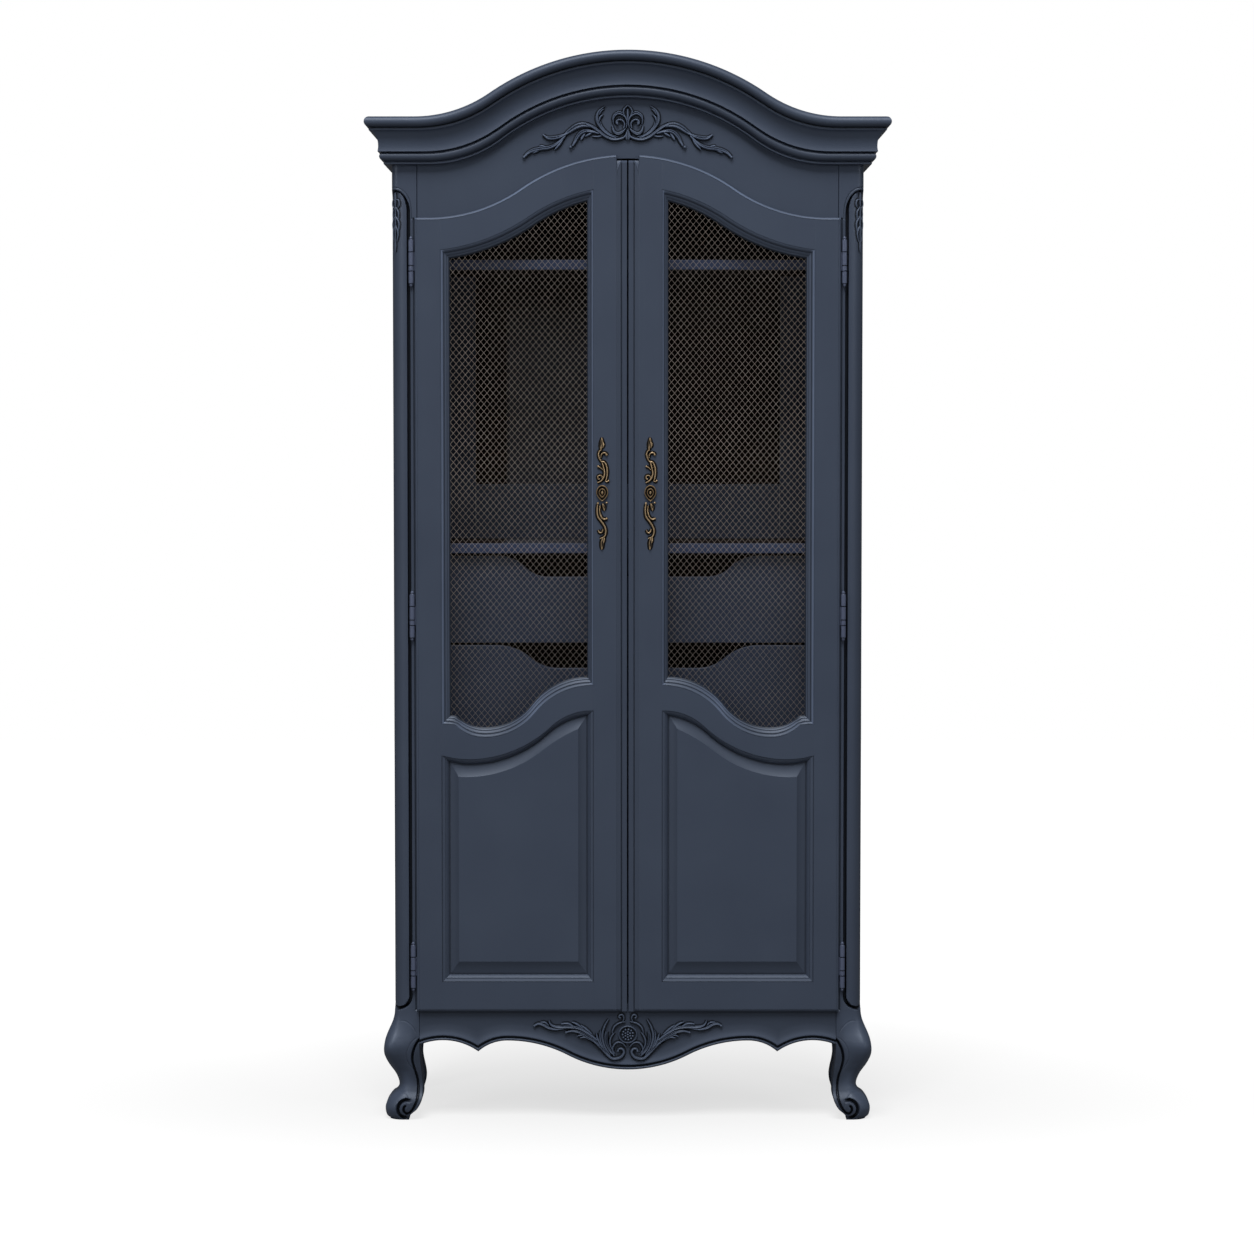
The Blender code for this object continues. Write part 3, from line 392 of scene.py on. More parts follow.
# Darker copies of the paint as painted shade: one for the nosings inside the case, a darker one for the tray fronts
# and the back's frame
SHADED_INSIDE_PAINT = Finish(slate_blue_paint("shaded_inside_slate_blue_paint", "#303950", "#38425c", 0.45), "slate_blue_paint")
SHADED_PAINT = Finish(slate_blue_paint("shaded_slate_blue_paint", "#232a39", "#2b3345", 0.5), "slate_blue_paint")
IRON = Finish(slate_blue_paint("painted_iron", "#4a5166", "#555d73", 0.4, carved=True), "painted_iron")
STAINED = Finish(dark_stained_board(), "dark_stained_board")
BRASS = Finish(aged_brass(), "aged_brass")
WIRE = Finish(bronze_wire(), "bronze_wire")


def settle(name, mesh, look, body, nodes=()):
    """Make a finished mesh one piece that rides on a body and stands for some frame nodes."""
    thing = bpy.data.objects.new(name, mesh)
    bpy.context.collection.objects.link(thing)
    mesh.materials.clear()
    mesh.materials.append(look.material)
    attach(thing, body)
    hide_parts(*nodes)
    return thing


def even_shading(thing):
    """Let the broad faces of a piece lead the shading of its eased edges."""
    shading = thing.modifiers.new("even_shading", "WEIGHTED_NORMAL")
    shading.keep_sharp = True
    return thing


def piece(name, shapes, look, body, nodes=(), sharp=40):
    """One piece made of closed shells."""
    shape = bmesh.new()
    height = shape.verts.layers.float.new("height")
    for points, faces in shapes:
        verts = [shape.verts.new(point[:3]) for point in points]
        # A point's fourth value is its painted light and shade, kept in the height attribute
        for vert, point in zip(verts, points):
            vert[height] = point[3] if len(point) > 3 else LEVEL
        for face in faces:
            shape.faces.new([verts[i] for i in face])
    bmesh.ops.remove_doubles(shape, verts=shape.verts, dist=MERGE)
    bmesh.ops.recalc_face_normals(shape, faces=shape.faces)
    mesh = bpy.data.meshes.new(name)
    shape.to_mesh(mesh)
    shape.free()
    mesh.shade_smooth()
    mesh.set_sharp_from_angle(angle=math.radians(sharp))
    return even_shading(settle(name, mesh, look, body, nodes))


def eased_copy(node, look, width):
    """A plain board of the frame with its edges eased."""
    shape = bmesh.new()
    shape.from_mesh(frame["nodes"][node].data)
    bmesh.ops.remove_doubles(shape, verts=shape.verts, dist=NODE_MERGE)
    bmesh.ops.dissolve_limit(shape, angle_limit=math.radians(1), verts=shape.verts, edges=shape.edges)
    mesh = bpy.data.meshes.new(node + "_board")
    shape.to_mesh(mesh)
    shape.free()
    mesh.shade_smooth()
    mesh.set_sharp_from_angle(angle=math.radians(60))
    thing = settle(node + "_board", mesh, look, frame["nodes"][node]["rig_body"], (node,))
    easing = thing.modifiers.new("eased_edges", "BEVEL")
    easing.width = width
    easing.segments = 3
    easing.limit_method = "ANGLE"
    easing.angle_limit = math.radians(30)
    return even_shading(thing)


def rounded(front, back, low, high, radius):
    """Ring of a rectangle with rounded corners, as pairs."""
    ring = []
    for a, b, start in ((front + radius, low + radius, 180), (back - radius, low + radius, 270),
                        (back - radius, high - radius, 0), (front + radius, high - radius, 90)):
        for k in range(4):
            turn = math.radians(start + 30 * k)
            ring.append((a + radius * math.cos(turn), b + radius * math.sin(turn)))
    return ring


def board(stations, section, radius, place):
    """Board with eased edges; section gives its four faces at a station along it."""
    start, stop = stations[0], stations[-1]
    step = math.copysign(radius, stop - start)
    rings = []
    for at in [start, start + step] + stations[1:-1] + [stop - step, stop]:
        front, back, low, high = section(at)
        inset = radius if at in (start, stop) else 0
        ring = rounded(front + inset, back - inset, low + inset, high - inset, radius)
        rings.append([place(at, a, b) for a, b in ring])
    return loft(rings)


def across(x, y, z):
    """Place of a board that runs across the cabinet."""
    return (x, y, z)


def standing(z, x, y):
    """Place of a board that stands upright."""
    return (x, y, z)


# Cornice, frieze and apron


# Cornice section in millimetres as (out, drop), from its top to its foot: bead, fillet, cove, torus, fillet
BEAD = (43, 11, 11)
COVE = (44, 28.5, 18, 30.7, 112.5)
TORUS = (15.4, 81.0, 8.8)
CORNICE_TALL = 97.6
# Painted light and shade of its members: their tones, the painted shade the bead takes between two angles below
# level, and the painted light the ends gain over a span from the centre
BEAD_SHADE = 0.3
BEAD_SPAN = (-20, 80)
FILLET_TONE = 0.37
COVE_TONE = 0.68
RECESS_TONE = 0.8
TORUS_TONE = 0.46
END_LIGHT = 0.05
END_SPAN = (0.25, 0.42)


def arc(out, drop, radius, start, stop, steps):
    """Points of an arc about (out, drop), with angles from straight out, up being positive."""
    turns = [math.radians(a) for a in spaced(start, stop, steps)]
    return [(out + radius * math.cos(a), drop - radius * math.sin(a)) for a in turns]


def cornice_profile():
    """Cornice section as (out, drop, tone), closed along the frieze; the tone is painted light and shade."""
    profile = [(0.3, 0.0)]
    profile += [(*spot, LEVEL - BEAD_SHADE * ease(*BEAD_SPAN, -turn))
                for spot, turn in zip(arc(*BEAD, 90, -90, 12), spaced(90, -90, 12))]
    profile += [(41.0, 22.6, 0), (41.0, 24.0, 0), (44.5, 24.4, FILLET_TONE), (44.5, 28.0, FILLET_TONE)]
    out, drop, wide, tall, turn = COVE
    profile += [(out - wide * math.sin(a), drop + tall * (1 - math.cos(a)), COVE_TONE)
                for a in (math.radians(t) for t in spaced(0, turn, 14))]
    profile += [(27.0, 71.3, RECESS_TONE), (22.0, 71.5, RECESS_TONE), (18.5, 72.0, RECESS_TONE)]
    profile += [(*spot, TORUS_TONE) for spot in arc(*TORUS, 84, -84, 10)]
    profile += [(11.4, 91.6), (11.4, 93.4), (15.5, 93.8), (15.5, 96.2)]
    profile += [(4.0, CORNICE_TALL), (0.3, CORNICE_TALL)]
    return [(a * MM, b * MM, *tone) for a, b, *tone in profile]


def cornice_height(x, drop):
    """Height of a cornice member, between the arched top line and the arched foot line."""
    share = drop / (CORNICE_TALL * MM)
    return arched(CORNICE_TOP, x) * (1 - share) + arched(CORNICE_FOOT, x) * share


def make_cornice():
    """Arched front length and two level returns, mitred at the corners."""
    profile = cornice_profile()
    reach = CORNICE_TOP.reach
    ends = {side: [(side * (BODY_HALF + out), FRONT - out, cornice_height(BODY_HALF, drop),
                    *[value + END_LIGHT for value in tone]) for out, drop, *tone in profile]
            for _, side in SIDES}
    rings = [[(x, FRONT - out, cornice_height(x, drop),
               *[value + END_LIGHT * ease(*END_SPAN, abs(x)) for value in tone])
              for out, drop, *tone in profile] for x in spaced(-reach, reach, CURVE_STEPS * 2)]
    piece("arched_cornice", [loft([ends[-1]] + rings + [ends[1]])], CARVED, "case", ("cornice_front",), sharp=50)
    mitre_gap = 0.6 * MM
    eased_run, eased_in = 1.5 * MM, 1.0 * MM
    for word, side in SIDES:
        runs = []
        for y in (None, BACK - eased_run, BACK):
            inset = eased_in if y == BACK else 0
            runs.append([(side * (BODY_HALF + max(out - inset, FIT)),
                          FRONT + mitre_gap - out if y is None else y,
                          cornice_height(BODY_HALF, drop), *tone) for out, drop, *tone in profile])
        piece(f"cornice_return_{word}", [loft(runs)], CARVED, "case", (f"cornice_{word}",), sharp=50)


# Painted shade of the frieze: its tone, a little darker than plain paint
FRIEZE_SHADE = 0.578


def make_frieze():
    """Arched board over the doors."""
    half = OPENING_HALF - FIT
    lap, strip_lap = 10 * MM, 7.5 * MM
    below_top = 4 * MM
    step = 0.1 * MM

    def section(x):
        low = door_head(x) - (lap if abs(x) > STRIP_END else strip_lap)
        return FRONT, BOARD_BACK, low, arched(CORNICE_TOP, x) - below_top

    turns = [-STRIP_END - step, -STRIP_END, STRIP_END, STRIP_END + step]
    stations = sorted(spaced(-half, half, CURVE_STEPS * 2) + turns)
    points, faces = board(stations, section, radius=0.7 * MM, place=across)
    piece("arched_frieze", [([(*point, FRIEZE_SHADE) for point in points], faces)], CARVED, "case", ("frieze",))


# Apron's lower edge, as places from the centre and heights
APRON_LOW = 0.1061
APRON_CREST = (0.255, 0.1680)
APRON_CUSP = (0.3167, 0.1447)
APRON_ARCH = (0.3915, 0.1687)
# Edge moulding in millimetres: distance up from the edge, and depth, which is negative where it stands proud. A
# quirk parts its roll from the flare above
APRON_QUIRK = 9.5
FLARE_CREST = 12.2
APRON_EDGE = (
    (0, 1.0), (0.5, -2.5), (1.5, -4.6), (3.0, -5.6), (4.6, -5.2), (5.8, -3.6), (6.3, 0.5), (6.8, 2.4), (9.4, 2.4),
    (9.9, -2.0), (10.4, -4.6), (11.2, -5.4), (FLARE_CREST, -5.5), (14, -5.0), (17, -4.0), (21, -2.8), (26, -1.6),
    (32, -0.6), (38, 0))
# Painted light and shade of the apron: tones of its face (painted shade), its flare (painted highlight) and its
# roll (painted shade), the span over which the flare's tone goes, and the lip painted dark as shade
APRON_SHADE = 0.46
FLARE_TONE = 0.7
ROLL_SHADE = 0.48
FLARE_SPAN = (12, 26)
ROLL_LIP = 1


def apron_edge(x):
    """Lower edge of the front apron: a central drop, a cusp and an arch at each leg."""
    s = abs(x)
    if s <= APRON_CREST[0]:
        return ogee(APRON_CREST[0] - s, APRON_CREST[1], APRON_LOW, APRON_CREST[0], share=0.5)
    centre, height = APRON_CREST if s <= APRON_CUSP[0] else APRON_ARCH
    fall = height - APRON_CUSP[1]
    radius = ((APRON_CUSP[0] - centre) ** 2 + fall ** 2) / (2 * fall)
    return height - radius + math.sqrt(radius ** 2 - (s - centre) ** 2)


def above_edge(x, distance):
    """Height of the line that keeps a distance inside the apron's edge."""
    if distance <= 0:
        return apron_edge(x)
    sweeps = spaced(-distance, distance, 16)
    return max(apron_edge(x + t) + math.sqrt(max(0, distance ** 2 - t ** 2)) for t in sweeps)


def make_apron():
    """Shaped rail with a beaded lower edge."""
    half = OPENING_HALF - FIT
    right = spaced(0, APRON_CUSP[0], 70) + spaced(APRON_CUSP[0], half, 34)[1:]
    rings = []
    for x in [-x for x in reversed(right[1:])] + right:
        ring = [(x, BOARD_BACK, apron_edge(x))]
        for far, depth in APRON_EDGE:
            # Painted highlight on the flare, painted shade on the face and the roll, darkest in the quirk and the
            # roll's lip
            painted_shading = FLARE_TONE + (APRON_SHADE - FLARE_TONE) * ease(*FLARE_SPAN, far)
            if far < APRON_QUIRK:
                painted_shading = 0 if depth > 0 or far < ROLL_LIP else ROLL_SHADE
            ring.append((x, FRONT + depth * MM, above_edge(x, far * MM), painted_shading))
        ring += [(x, FRONT, DECK_TOP, APRON_SHADE), (x, BOARD_BACK, DECK_TOP)]
        rings.append(ring)
    piece("shaped_apron", [loft(rings)], CARVED, "case", ("apron",), sharp=50)


# Posts and legs: outlines in millimetres as (height, distance past the post's outer, front or inner face)
KNEE = (
    (0, 11), (6, 16.8), (11, 19), (22, 20.9), (32.5, 18.8), (43, 13.6), (54, 5.0), (60, -3), (65, -6.4), (70, -8.2),
    (76, -8.4), (86, -5.6), (97, -0.3), (107.5, 6.5), (118, 12.9), (129, 18), (139.6, 21.5), (150, 22.6),
    (161, 21.8), (172, 19.8), (182, 16.6), (193, 11.9), (204, 6.8), (214, 3), (225, 0.6), (236, 0))
SHIN = (
    (0, 6), (10, 11), (25, 14), (42, 11), (60, 1), (80, -5), (100, -2), (118, 8), (132, 17), (144, 23), (156, 25.5),
    (166, 23.5), (176, 18.5), (186, 12.5), (196, 7.5), (208, 3), (220, 0.8), (236, 0))
CALF = (
    (0, -22.6), (7, -21.5), (14, -16.3), (22, -6.8), (33, 0.5), (43, 4.7), (54, 6.8), (75, 6.8), (96, 5), (128, 1.6),
    (150, 0.3), (165, 0))
LEG_TOP = 0.236
LEG_CORNER = 20 * MM
FOOT_CORNER = 29 * MM
# Heights in metres over which the foot goes over into the leg and the leg into the post
FOOT_SPAN = (0.05, 0.09)
CALM_SPAN = (0.06, 0.12)
POST_SPAN = (LEG_TOP - 0.045, LEG_TOP)
# Share of the knee's swell that is gone at the leg's inner and rear edges, and the shares of its width and depth over
# which it goes
SWELL_FADE = 0.78
SWELL_ACROSS = (0, 0.8)
SWELL_BACK = (0.2, 1)
# Painted light and shade of the leg: tones of its inner side (painted shade) and outer side (painted light), as
# shares of the plain one, with what the inner side gains over a span of heights and the outer side loses above the
# foot
LEG_INNER = 0.64
INNER_GAIN = 0.2
INNER_SPAN = (0.13, 0.18)
LEG_OUTER = 1.24
OUTER_LOSS = 0.14
# Share of the leg's width where the inner tone ends, and how much sooner the outer one starts above the foot
INNER_END = 0.1
OUTER_SOONER = 0.65
# Share of a carved line's half width that is its floor
LINE_FLOOR = 0.35
# Rounded corner panel of the post: its groove runs round it
PANEL_HALF = 28.4 * MM
PANEL_TOP = 1.960
PANEL_ARCH = 46 * MM
PANEL_BOTTOM = 0.2365
PANEL_BOWL = 27 * MM
CORNER_REACH = 30 * MM
BLOCK_RADIUS = 14 * MM
GROOVE_HALF = 3.7 * MM
GROOVE_DEPTH = 15 * MM
# Shares of the groove's half width that is its floor, and that is gone at the top of the arch
GROOVE_FLOOR = 0.6
GROOVE_THINNED = 0.5
# Fine line scored outside the panel's arch: distance from its outline, half widths of its floor and mouth, depth
SCORE_OUT = 6.8 * MM
SCORE_HALF = (0.4 * MM, 1.1 * MM)
SCORE_DEPTH = 1.2 * MM
SCORE_START = PANEL_TOP - PANEL_ARCH * 1.3
# Half of the step from the corner panel to the square post round it
PANEL_STEP = 1.5 * MM
# Clearance groove of the post beside the door
GAP_START = DOOR_OUT + 0.3 * MM
GAP_WIDE = 3.2 * MM
GAP_DEPTH = 2.5 * MM
# Steps across the post's front, round its corner and along its side
POST_RINGS = (44, 30, 36)
# Steps up the leg, past the panel's bowl, up the plain post and past the panel's arch
POST_ROWS = (176, 44, 10, 80)
# Carved lines of the leg in millimetres: half width, depth, share that tapers at the ends, points as (x, z)
LEG_LINES = (
    (3.0, 9.0, 0.04, ((437, 176), (447, 163), (454, 147), (456.4, 129), (453, 111), (448.4, 96), (445.6, 83),
                      (444.3, 68), (444.8, 54), (446.6, 43.4), (450.4, 32.7), (455.8, 22.8), (462.6, 15.4),
                      (469.6, 13.8), (474.6, 19.4), (473.8, 27), (469.4, 31))),
    (4.4, 10.0, 0.14, ((459, 40.5), (470, 42.5), (479.5, 38.5), (485.6, 31), (487.2, 21), (483.5, 11.5),
                       (476, 6), (467, 5))),
    (1.2, 0.8, 0.12, ((484, 60), (474, 55), (465.5, 46.5), (460.5, 36), (458.5, 27))),
    (1.3, 0.9, 0.10, ((441.5, 178), (455, 168.5), (463.6, 156), (467.8, 143), (467.2, 128), (461.5, 115.5),
                      (454, 105))),
    (1.3, 0.7, 0.15, ((486, 211), (472, 210), (461.5, 203.5), (453, 194), (447.8, 183))),
)


def corner_path(share, reach, radius):
    """Place on a rounded corner as (across, back) from where it starts, with its outward direction."""
    straight = reach - radius
    whole = 2 * straight + radius * math.pi / 2
    run = share * whole
    if run <= straight:
        return (run, 0), (0, -1)
    if run >= whole - straight:
        return (reach, reach - whole + run), (1, 0)
    turn = (run - straight) / radius
    way = (math.sin(turn), -math.cos(turn))
    return (straight + radius * way[0], radius + radius * way[1]), way


def post_section(inner, outer, front, back, radius):
    """Points round a post with their outward directions; the outer front corner is rounded."""
    flat, turn, side = POST_RINGS
    small = 1.5 * MM
    ring = []
    for x in spaced(inner + small, outer - CORNER_REACH, flat)[:-1]:
        ring.append(((x, front), (0, -1)))
    for share in spaced(0, 1, turn):
        (over, deep), way = corner_path(share, CORNER_REACH, radius)
        ring.append(((outer - CORNER_REACH + over, front + deep), way))
    for y in spaced(front + CORNER_REACH, back - small, side)[1:]:
        ring.append(((outer, y), (1, 0)))
    for x in spaced(outer - small, inner + small, 6):
        ring.append(((x, back), (0, 1)))
    for y in spaced(back - small, front + small, 6):
        ring.append(((inner, y), (-1, 0)))
    return ring


def panel_edge(w, z):
    """Distance outside the corner panel's outline at w across and z up; negative inside."""
    top = PANEL_TOP - PANEL_ARCH
    low = PANEL_BOTTOM + PANEL_BOWL
    if low <= z <= top:
        return abs(w) - PANEL_HALF
    tall, up = (PANEL_ARCH, z - top) if z > top else (PANEL_BOWL, low - z)
    far = math.hypot(w / PANEL_HALF, up / tall)
    steep = math.hypot(w / PANEL_HALF ** 2, up / tall ** 2) / max(far, 1e-6)
    return (far - 1) / max(steep, 1e-6)


def leg_lines():
    """Search trees of the carved lines of the leg, with their half widths, depths and tapers."""
    found = []
    for half, depth, taper, points in LEG_LINES:
        run = spline(points, 24)
        tree = KDTree(len(run))
        for k, spot in enumerate(run):
            tree.insert((spot.x * MM, spot.y * MM, 0), k)
        tree.balance()
        found.append((tree, half * MM, depth * MM, taper * len(run), len(run)))
    return found


def hollow(cut):
    """Height value of a face that is cut in: the deeper the cut, the darker its painted shade."""
    return LEVEL * (1 - min(1, cut / HOLLOW_DEPTH))


def leg_ring(z, lines):
    """Section of the cabriole leg: carved lines with painted shade, and painted light and shade on its sides."""
    outer = BODY_HALF + knot_line(KNEE, z)
    inner = OPENING_HALF - knot_line(CALF, z)
    front = FRONT - knot_line(SHIN, z)
    back = front + (POST_BACK - FRONT) * (outer - inner) / (BODY_HALF - OPENING_HALF)
    blend = ease(*POST_SPAN, z)
    bulb = FOOT_CORNER + (LEG_CORNER - FOOT_CORNER) * ease(*FOOT_SPAN, z)
    radius = bulb * (1 - blend) + BLOCK_RADIUS * blend
    calm = ease(*CALM_SPAN, z)
    fade = SWELL_FADE * calm
    dark = LEG_INNER + INNER_GAIN * ease(*INNER_SPAN, z)
    light = LEG_OUTER - OUTER_LOSS * calm
    flat, turn, side = POST_RINGS
    ring = []
    for k, ((x, y), way) in enumerate(post_section(inner, outer, front, back, radius)):
        cut = 0
        if k <= flat + turn + side:
            at = x if k < flat + turn / 2 else outer - (y - front)
            for tree, half, depth, taper, count in lines:
                _, spot, far = tree.find((at, z, 0))
                ends = min(1, (spot + 1) / taper, (count - spot) / taper)
                cut = max(cut, ends * depth * (1 - ease(half * LINE_FLOOR, half, far)))
        over = (x - inner) / (outer - inner)
        deep = (y - front) / (back - front)
        shift_y = knot_line(SHIN, z) * fade * (1 - ease(*SWELL_ACROSS, over)) * (1 - deep)
        shift_x = knot_line(KNEE, z) * fade * ease(*SWELL_BACK, deep) * over
        # Painted shade on the inner side and painted light on the outer side, going over to plain at the post
        side_tone = dark + (light - dark) * ease(INNER_END, 1 - OUTER_SOONER * calm, over)
        painted_side_light = side_tone + (1 - side_tone) * blend
        ring.append((x - way[0] * cut - shift_x, y - way[1] * cut + shift_y, z, hollow(cut) * painted_side_light))
    return ring


def post_ring(z):
    """Section of the post with its grooved corner panel."""
    block = post_section(OPENING_HALF, BODY_HALF, FRONT, POST_BACK, BLOCK_RADIUS)
    curved = post_section(OPENING_HALF, BODY_HALF, FRONT, POST_BACK, CORNER_REACH)
    flat, turn, side = POST_RINGS
    quarter = CORNER_REACH * math.pi / 4
    ring = []
    for k, ((bx, by), block_way) in enumerate(block):
        (cx, cy), curved_way = curved[k]
        if k > flat + turn + side:
            ring.append((bx, by, z, LEVEL))
            continue
        w = (2 * (k - flat) / turn - 1) * quarter
        if k < flat:
            w = -quarter - (BODY_HALF - CORNER_REACH - cx)
        elif k > flat + turn:
            w = quarter + (cy - FRONT - CORNER_REACH)
        edge = panel_edge(w, z)
        out = ease(-PANEL_STEP, PANEL_STEP, edge)
        x = cx + (bx - cx) * out
        y = cy + (by - cy) * out
        way = curved_way if out < 0.5 else block_way
        half = GROOVE_HALF * (1 - GROOVE_THINNED * ease(PANEL_TOP - PANEL_ARCH, PANEL_TOP, z))
        cut = GROOVE_DEPTH * half / GROOVE_HALF * (1 - ease(half * GROOVE_FLOOR, half, abs(edge)))
        if z > SCORE_START:
            cut = max(cut, SCORE_DEPTH * (1 - ease(*SCORE_HALF, abs(edge - SCORE_OUT))))
        if k < flat and GAP_START < x < GAP_START + GAP_WIDE and z < door_head(DOOR_OUT):
            cut = GAP_DEPTH
        ring.append((x - way[0] * cut, y - way[1] * cut, z, hollow(cut)))
    return ring


def make_front_posts():
    """Front posts with cabriole legs, carved in one timber each."""
    lines = leg_lines()
    low_end = PANEL_BOTTOM + PANEL_BOWL + 10 * MM
    high_start = PANEL_TOP - PANEL_ARCH - 24 * MM
    high_end = PANEL_TOP + 14 * MM
    leg, bowl, plain, arch = POST_ROWS
    rings = [leg_ring(z, lines) for z in spaced(0, LEG_TOP - 4 * MM, leg)]
    rows = spaced(LEG_TOP - 2.5 * MM, low_end, bowl) + spaced(low_end, high_start, plain)[1:]
    rows += spaced(high_start, high_end, arch)[1:] + [POST_TOP]
    rings += [post_ring(z) for z in rows]
    for word, side in SIDES:
        sided = [[(side * x, y, z, height) for x, y, z, height in ring] for ring in rings]
        piece(f"carved_post_{word}", [loft(sided)], CARVED, "case", (f"front_post_{word}",), sharp=60)


# Rear legs, as (height, distance past the post's outer or inner face) in millimetres
REAR_KNEE = ((0, 0), (30, 4), (90, -6), (165, 6), (229, 0))
REAR_CALF = (
    (0, -12), (10, -9), (28, -7), (45, -9.4), (62, -13.2), (78, -15.2), (100, -13), (130, -5), (165, 0))
REAR_LEG_TOP = 0.230


def make_rear_posts():
    """Rear posts with plainer curved legs."""
    for word, side in SIDES:
        def section(z):
            outer = BODY_HALF + knot_line(REAR_KNEE, z)
            inner = OPENING_HALF - knot_line(REAR_CALF, z)
            deep = (BACK - REAR_FRONT) * min(1, (outer - inner) / (BODY_HALF - OPENING_HALF))
            return inner, outer, BACK - deep, BACK
        post = board(spaced(0, REAR_LEG_TOP, 40) + [POST_TOP], section, 2 * MM, lambda z, a, b: (side * a, b, z))
        piece(f"rear_post_{word}_timber", [post], PAINT, "case", (f"rear_post_{word}",))


NOSING = 9 * MM
# Frame of the back between the shelves: height of its rail, place of its stiles, thickness
BACK_RAIL = 120 * MM
BACK_STILE = 335 * MM
BACK_FRAME = 8 * MM
# Arch of the side rails' lower edge: heights of its crest and its ends
SIDE_CREST = 0.176
SIDE_SPRING = 0.150


def make_case_boards():
    """Boards of the case that keep their plain shape, and the arched side rails."""
    for node in ("floor_board", "top_board", "drawer_guide_left", "drawer_guide_right"):
        eased_copy(node, PAINT, width=1.2 * MM)
    for node in ("lower_shelf", "upper_shelf"):
        low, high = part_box(node)
        nosing = low.y + NOSING
        rear = board([low.x, high.x], lambda x: (nosing, high.y, low.z, high.z), radius=0.8 * MM, place=across)
        piece(f"{node}_board", [rear], STAINED, "case", (node,))
        lip = board([low.x, high.x], lambda x: (low.y, nosing, low.z, high.z), radius=1.5 * MM, place=across)
        piece(f"{node}_nosing", [lip], SHADED_INSIDE_PAINT, "case")
    eased_copy("back_panel", STAINED, width=0.8 * MM)
    low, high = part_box("back_panel")
    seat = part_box("lower_shelf")[1].z + FIT
    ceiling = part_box("upper_shelf")[0].z - FIT
    face, rear = low.y - FIT - BACK_FRAME, low.y - FIT
    rail = board([-BACK_STILE, BACK_STILE], lambda x: (face, rear, seat, seat + BACK_RAIL), radius=MM, place=across)
    frame_boards = [rail]
    for _, side in SIDES:
        ends = [side * (BACK_STILE + FIT), side * high.x]
        frame_boards.append(board(ends, lambda x: (face, rear, seat, ceiling), radius=MM, place=across))
    piece("back_frame", frame_boards, SHADED_PAINT, "case")
    for word, side in SIDES:
        eased_copy(f"side_panel_{word}", PAINT, width=1.5 * MM)
        low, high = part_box(f"side_apron_{word}")
        inner, outer = sorted((abs(low.x), abs(high.x)))
        middle = (low.y + high.y) / 2
        reach = (high.y - low.y) / 2
        rail = board(spaced(low.y, high.y, 40),
                     lambda y: (inner, outer, ogee(y - middle, SIDE_CREST, SIDE_SPRING, reach, share=0.5), high.z),
                     1.2 * MM, lambda y, a, b: (side * a, y, b))
        piece(f"side_rail_{word}", [rail], PAINT, "case", (f"side_apron_{word}",))


# Trays


# Scoops of the tray fronts in metres: depth, half width of the level stretch, half width of the whole
SCOOPS = (("upper_drawer", 0.044, 0.170, 0.275), ("lower_drawer", 0.049, 0.148, 0.278))


def make_trays():
    """Two pull-out trays with scooped fronts."""
    for name, scoop, near, far in SCOOPS:
        low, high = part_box(f"{name}_front")

        def top(x):
            run = abs(x) - near
            return high.z - scoop if run <= 0 else high.z - ogee(run, scoop, 0, far - near, share=0.45)

        stations = [low.x] + spaced(-far, -near, 24) + spaced(near, far, 24) + [high.x]
        front = board(stations, lambda x: (low.y, high.y, low.z, top(x)), radius=2 * MM, place=across)
        piece(f"{name}_scooped_front", [front], SHADED_PAINT, name, (f"{name}_front",))
        for part in ("side_left", "side_right", "back", "bottom"):
            eased_copy(f"{name}_{part}", STAINED, width=0.8 * MM)


# Doors: millimetre profiles as (distance from the edge, depth below the face)
DOOR_EDGE = (
    (0, 4.6), (0.3, 3.6), (0.8, 2.7), (1.4, 2.0), (3.2, 0.5), (3.9, 0.1), (4.3, 0.1), (4.5, 0.8), (5.3, 0.8),
    (5.5, 0))
# Span of the ridge along the door's edges, and its painted highlight at the side and along the head
EDGE_RIDGE = (0.7, 4.4)
EDGE_TONE = 0.76
HEAD_TONE = 0.98
# How much stronger the head's painted highlight is where it leans, and the lean past which it is a step instead
HEAD_SLOPE = 3
STEEPEST = 1.3
# Depth past which the door's edge no longer sinks a face further, and the deepest face
SUNK_FACE = 5 * MM
DEEPEST_FACE = 9 * MM
SEAM = ((0, 0.3), (0.5, 0))
# Strip over the gap between the doors, with tones of painted shade as a third value, darkest in its grooves
STRIP = (
    (1.3, 7.8, 0.3), (1.7, 6.6, 0.5), (2.6, 6.0, 0.58), (12.2, 6.0, 0.58), (12.6, 8.0, 0.35), (14.4, 8.0, 0.35),
    (14.7, 2.4, 0.5), (15.4, 2.0, 0.55), (22.6, 1.4, 0.55), (23.4, 0.4, 0.58), (24.4, 0, LEVEL))
STRIP_END = 23 * MM
STRIP_DROP = 11 * MM
# Seams between stiles and rails, and laps of the door over its opening
SEAM_OUT = 0.3922
SEAM_IN = 0.0719
LAP_FACE = FRONT - FIT
LAP_SIDE = DOOR_OUT - OPENING_HALF + 2.5 * MM
LAP_END = 12.5 * MM
